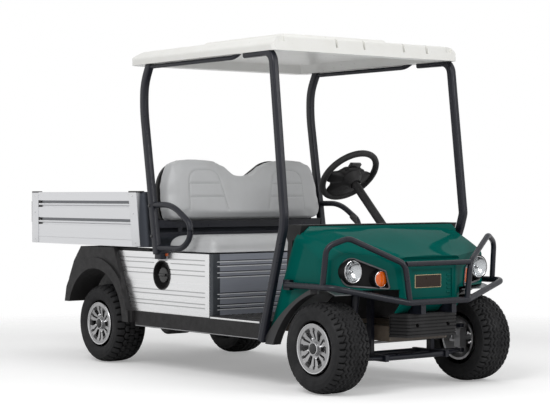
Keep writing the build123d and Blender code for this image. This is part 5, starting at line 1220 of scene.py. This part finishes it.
cap_face, normal = surface("filler_cap", (cap_middle.x, -1, cap_middle.z), (0, 1, 0))
filler_points, filler_faces = lathe(FILLER_PROFILE, 96)
for point in filler_points:
    if point.xy.length > FILLER_WAVE_FROM:
        point.xy *= 1 + FILLER_WAVE * math.cos(FILLER_LOBES * math.atan2(point.y, point.x))
filler_place = axis_frame(cap_face, (0, -1, 0))
filler = placed((filler_points, filler_faces), filler_place)
handle_place = filler_place @ Matrix.Translation((0, 0, HANDLE_RISE))
handle = placed(rounded_box(HANDLE_SIZE, HANDLE_ROUND), handle_place)
add_groups("filler_grip", [filler, handle], "chassis", "plastic_black", "gloss_black")

# Floor: pale, brighter to the camera than it is lit, and fading out far from the vehicle
FLOOR_SIZE = 30.0
FLOOR_FADE_START = 2.6
FLOOR_FADE_END = 4.6
FLOOR_GLOW = 0.28
floor_corners = [(-FLOOR_SIZE, -FLOOR_SIZE, 0), (FLOOR_SIZE, -FLOOR_SIZE, 0),
                 (FLOOR_SIZE, FLOOR_SIZE, 0), (-FLOOR_SIZE, FLOOR_SIZE, 0)]
floor_mesh = mesh_from("floor", floor_corners, [(0, 1, 2, 3)])
floor = bpy.data.objects.new("floor", floor_mesh)
scene.collection.objects.link(floor)
pale = new_material("floor_pale", (0.86, 0.86, 0.86), 0.9)
floor_mesh.materials.append(pale)
floor_shader = shader_of(pale)
floor_shader.inputs["Specular IOR Level"].default_value = 0.0
floor_shader.inputs["Emission Color"].default_value = (1, 1, 1, 1)
tree = pale.node_tree
path = tree.nodes.new("ShaderNodeLightPath")
glow = mapped(pale, path.outputs["Is Camera Ray"], 0.0, FLOOR_GLOW, 0.0, 1.0)
place = tree.nodes.new("ShaderNodeTexCoord")
distance = tree.nodes.new("ShaderNodeVectorMath")
distance.operation = "LENGTH"
fade = mapped(pale, distance.outputs["Value"], 0.0, 1.0, FLOOR_FADE_START, FLOOR_FADE_END)
see_through = tree.nodes.new("ShaderNodeBsdfTransparent")
mix = tree.nodes.new("ShaderNodeMixShader")
tree.links.new(glow, floor_shader.inputs["Emission Strength"])
tree.links.new(place.outputs["Object"], distance.inputs[0])
tree.links.new(fade, mix.inputs["Fac"])
tree.links.new(floor_shader.outputs["BSDF"], mix.inputs[1])
tree.links.new(see_through.outputs["BSDF"], mix.inputs[2])
tree.links.new(mix.outputs["Shader"], tree.nodes["Material Output"].inputs["Surface"])

# World: white to the camera and in reflections, dimmer as a light
WORLD_LIGHT = 0.44


def greater(tree, first, second):
    """The greater of two signals."""
    made = tree.nodes.new("ShaderNodeMath")
    made.operation = "MAXIMUM"
    tree.links.new(first, made.inputs[0])
    tree.links.new(second, made.inputs[1])
    return made.outputs["Value"]


world = bpy.data.worlds.new("studio")
world.use_nodes = True
scene.world = world
tree = world.node_tree
background = tree.nodes["Background"]
background.inputs["Color"].default_value = (1, 1, 1, 1)
path = tree.nodes.new("ShaderNodeLightPath")
seen = greater(tree, path.outputs["Is Camera Ray"], path.outputs["Is Glossy Ray"])
seen = greater(tree, seen, path.outputs["Is Transmission Ray"])
tree.links.new(mapped(world, seen, WORLD_LIGHT, 1.0, 0.0, 1.0), background.inputs["Strength"])

LAMPS = (
    # name, place, aim, size, power
    ("key", (3.0, -5.0, 5.0), (0.2, 0.0, 0.6), 3.0, 200.0),
    ("front", (6.0, 1.5, 3.2), (0.6, 0.0, 0.6), 2.0, 80.0),
    ("top", (-0.5, 0.5, 6.0), (0.0, 0.0, 0.8), 3.5, 42.0),
)
for name, place, aim, size, power in LAMPS:
    light = bpy.data.objects.new("light_" + name, bpy.data.lights.new("light_" + name, "AREA"))
    light.data.size = size
    light.data.energy = power
    light.location = place
    light.rotation_mode = "QUATERNION"
    light.rotation_quaternion = (Vector(aim) - Vector(place)).to_track_quat("-Z", "Y")
    scene.collection.objects.link(light)
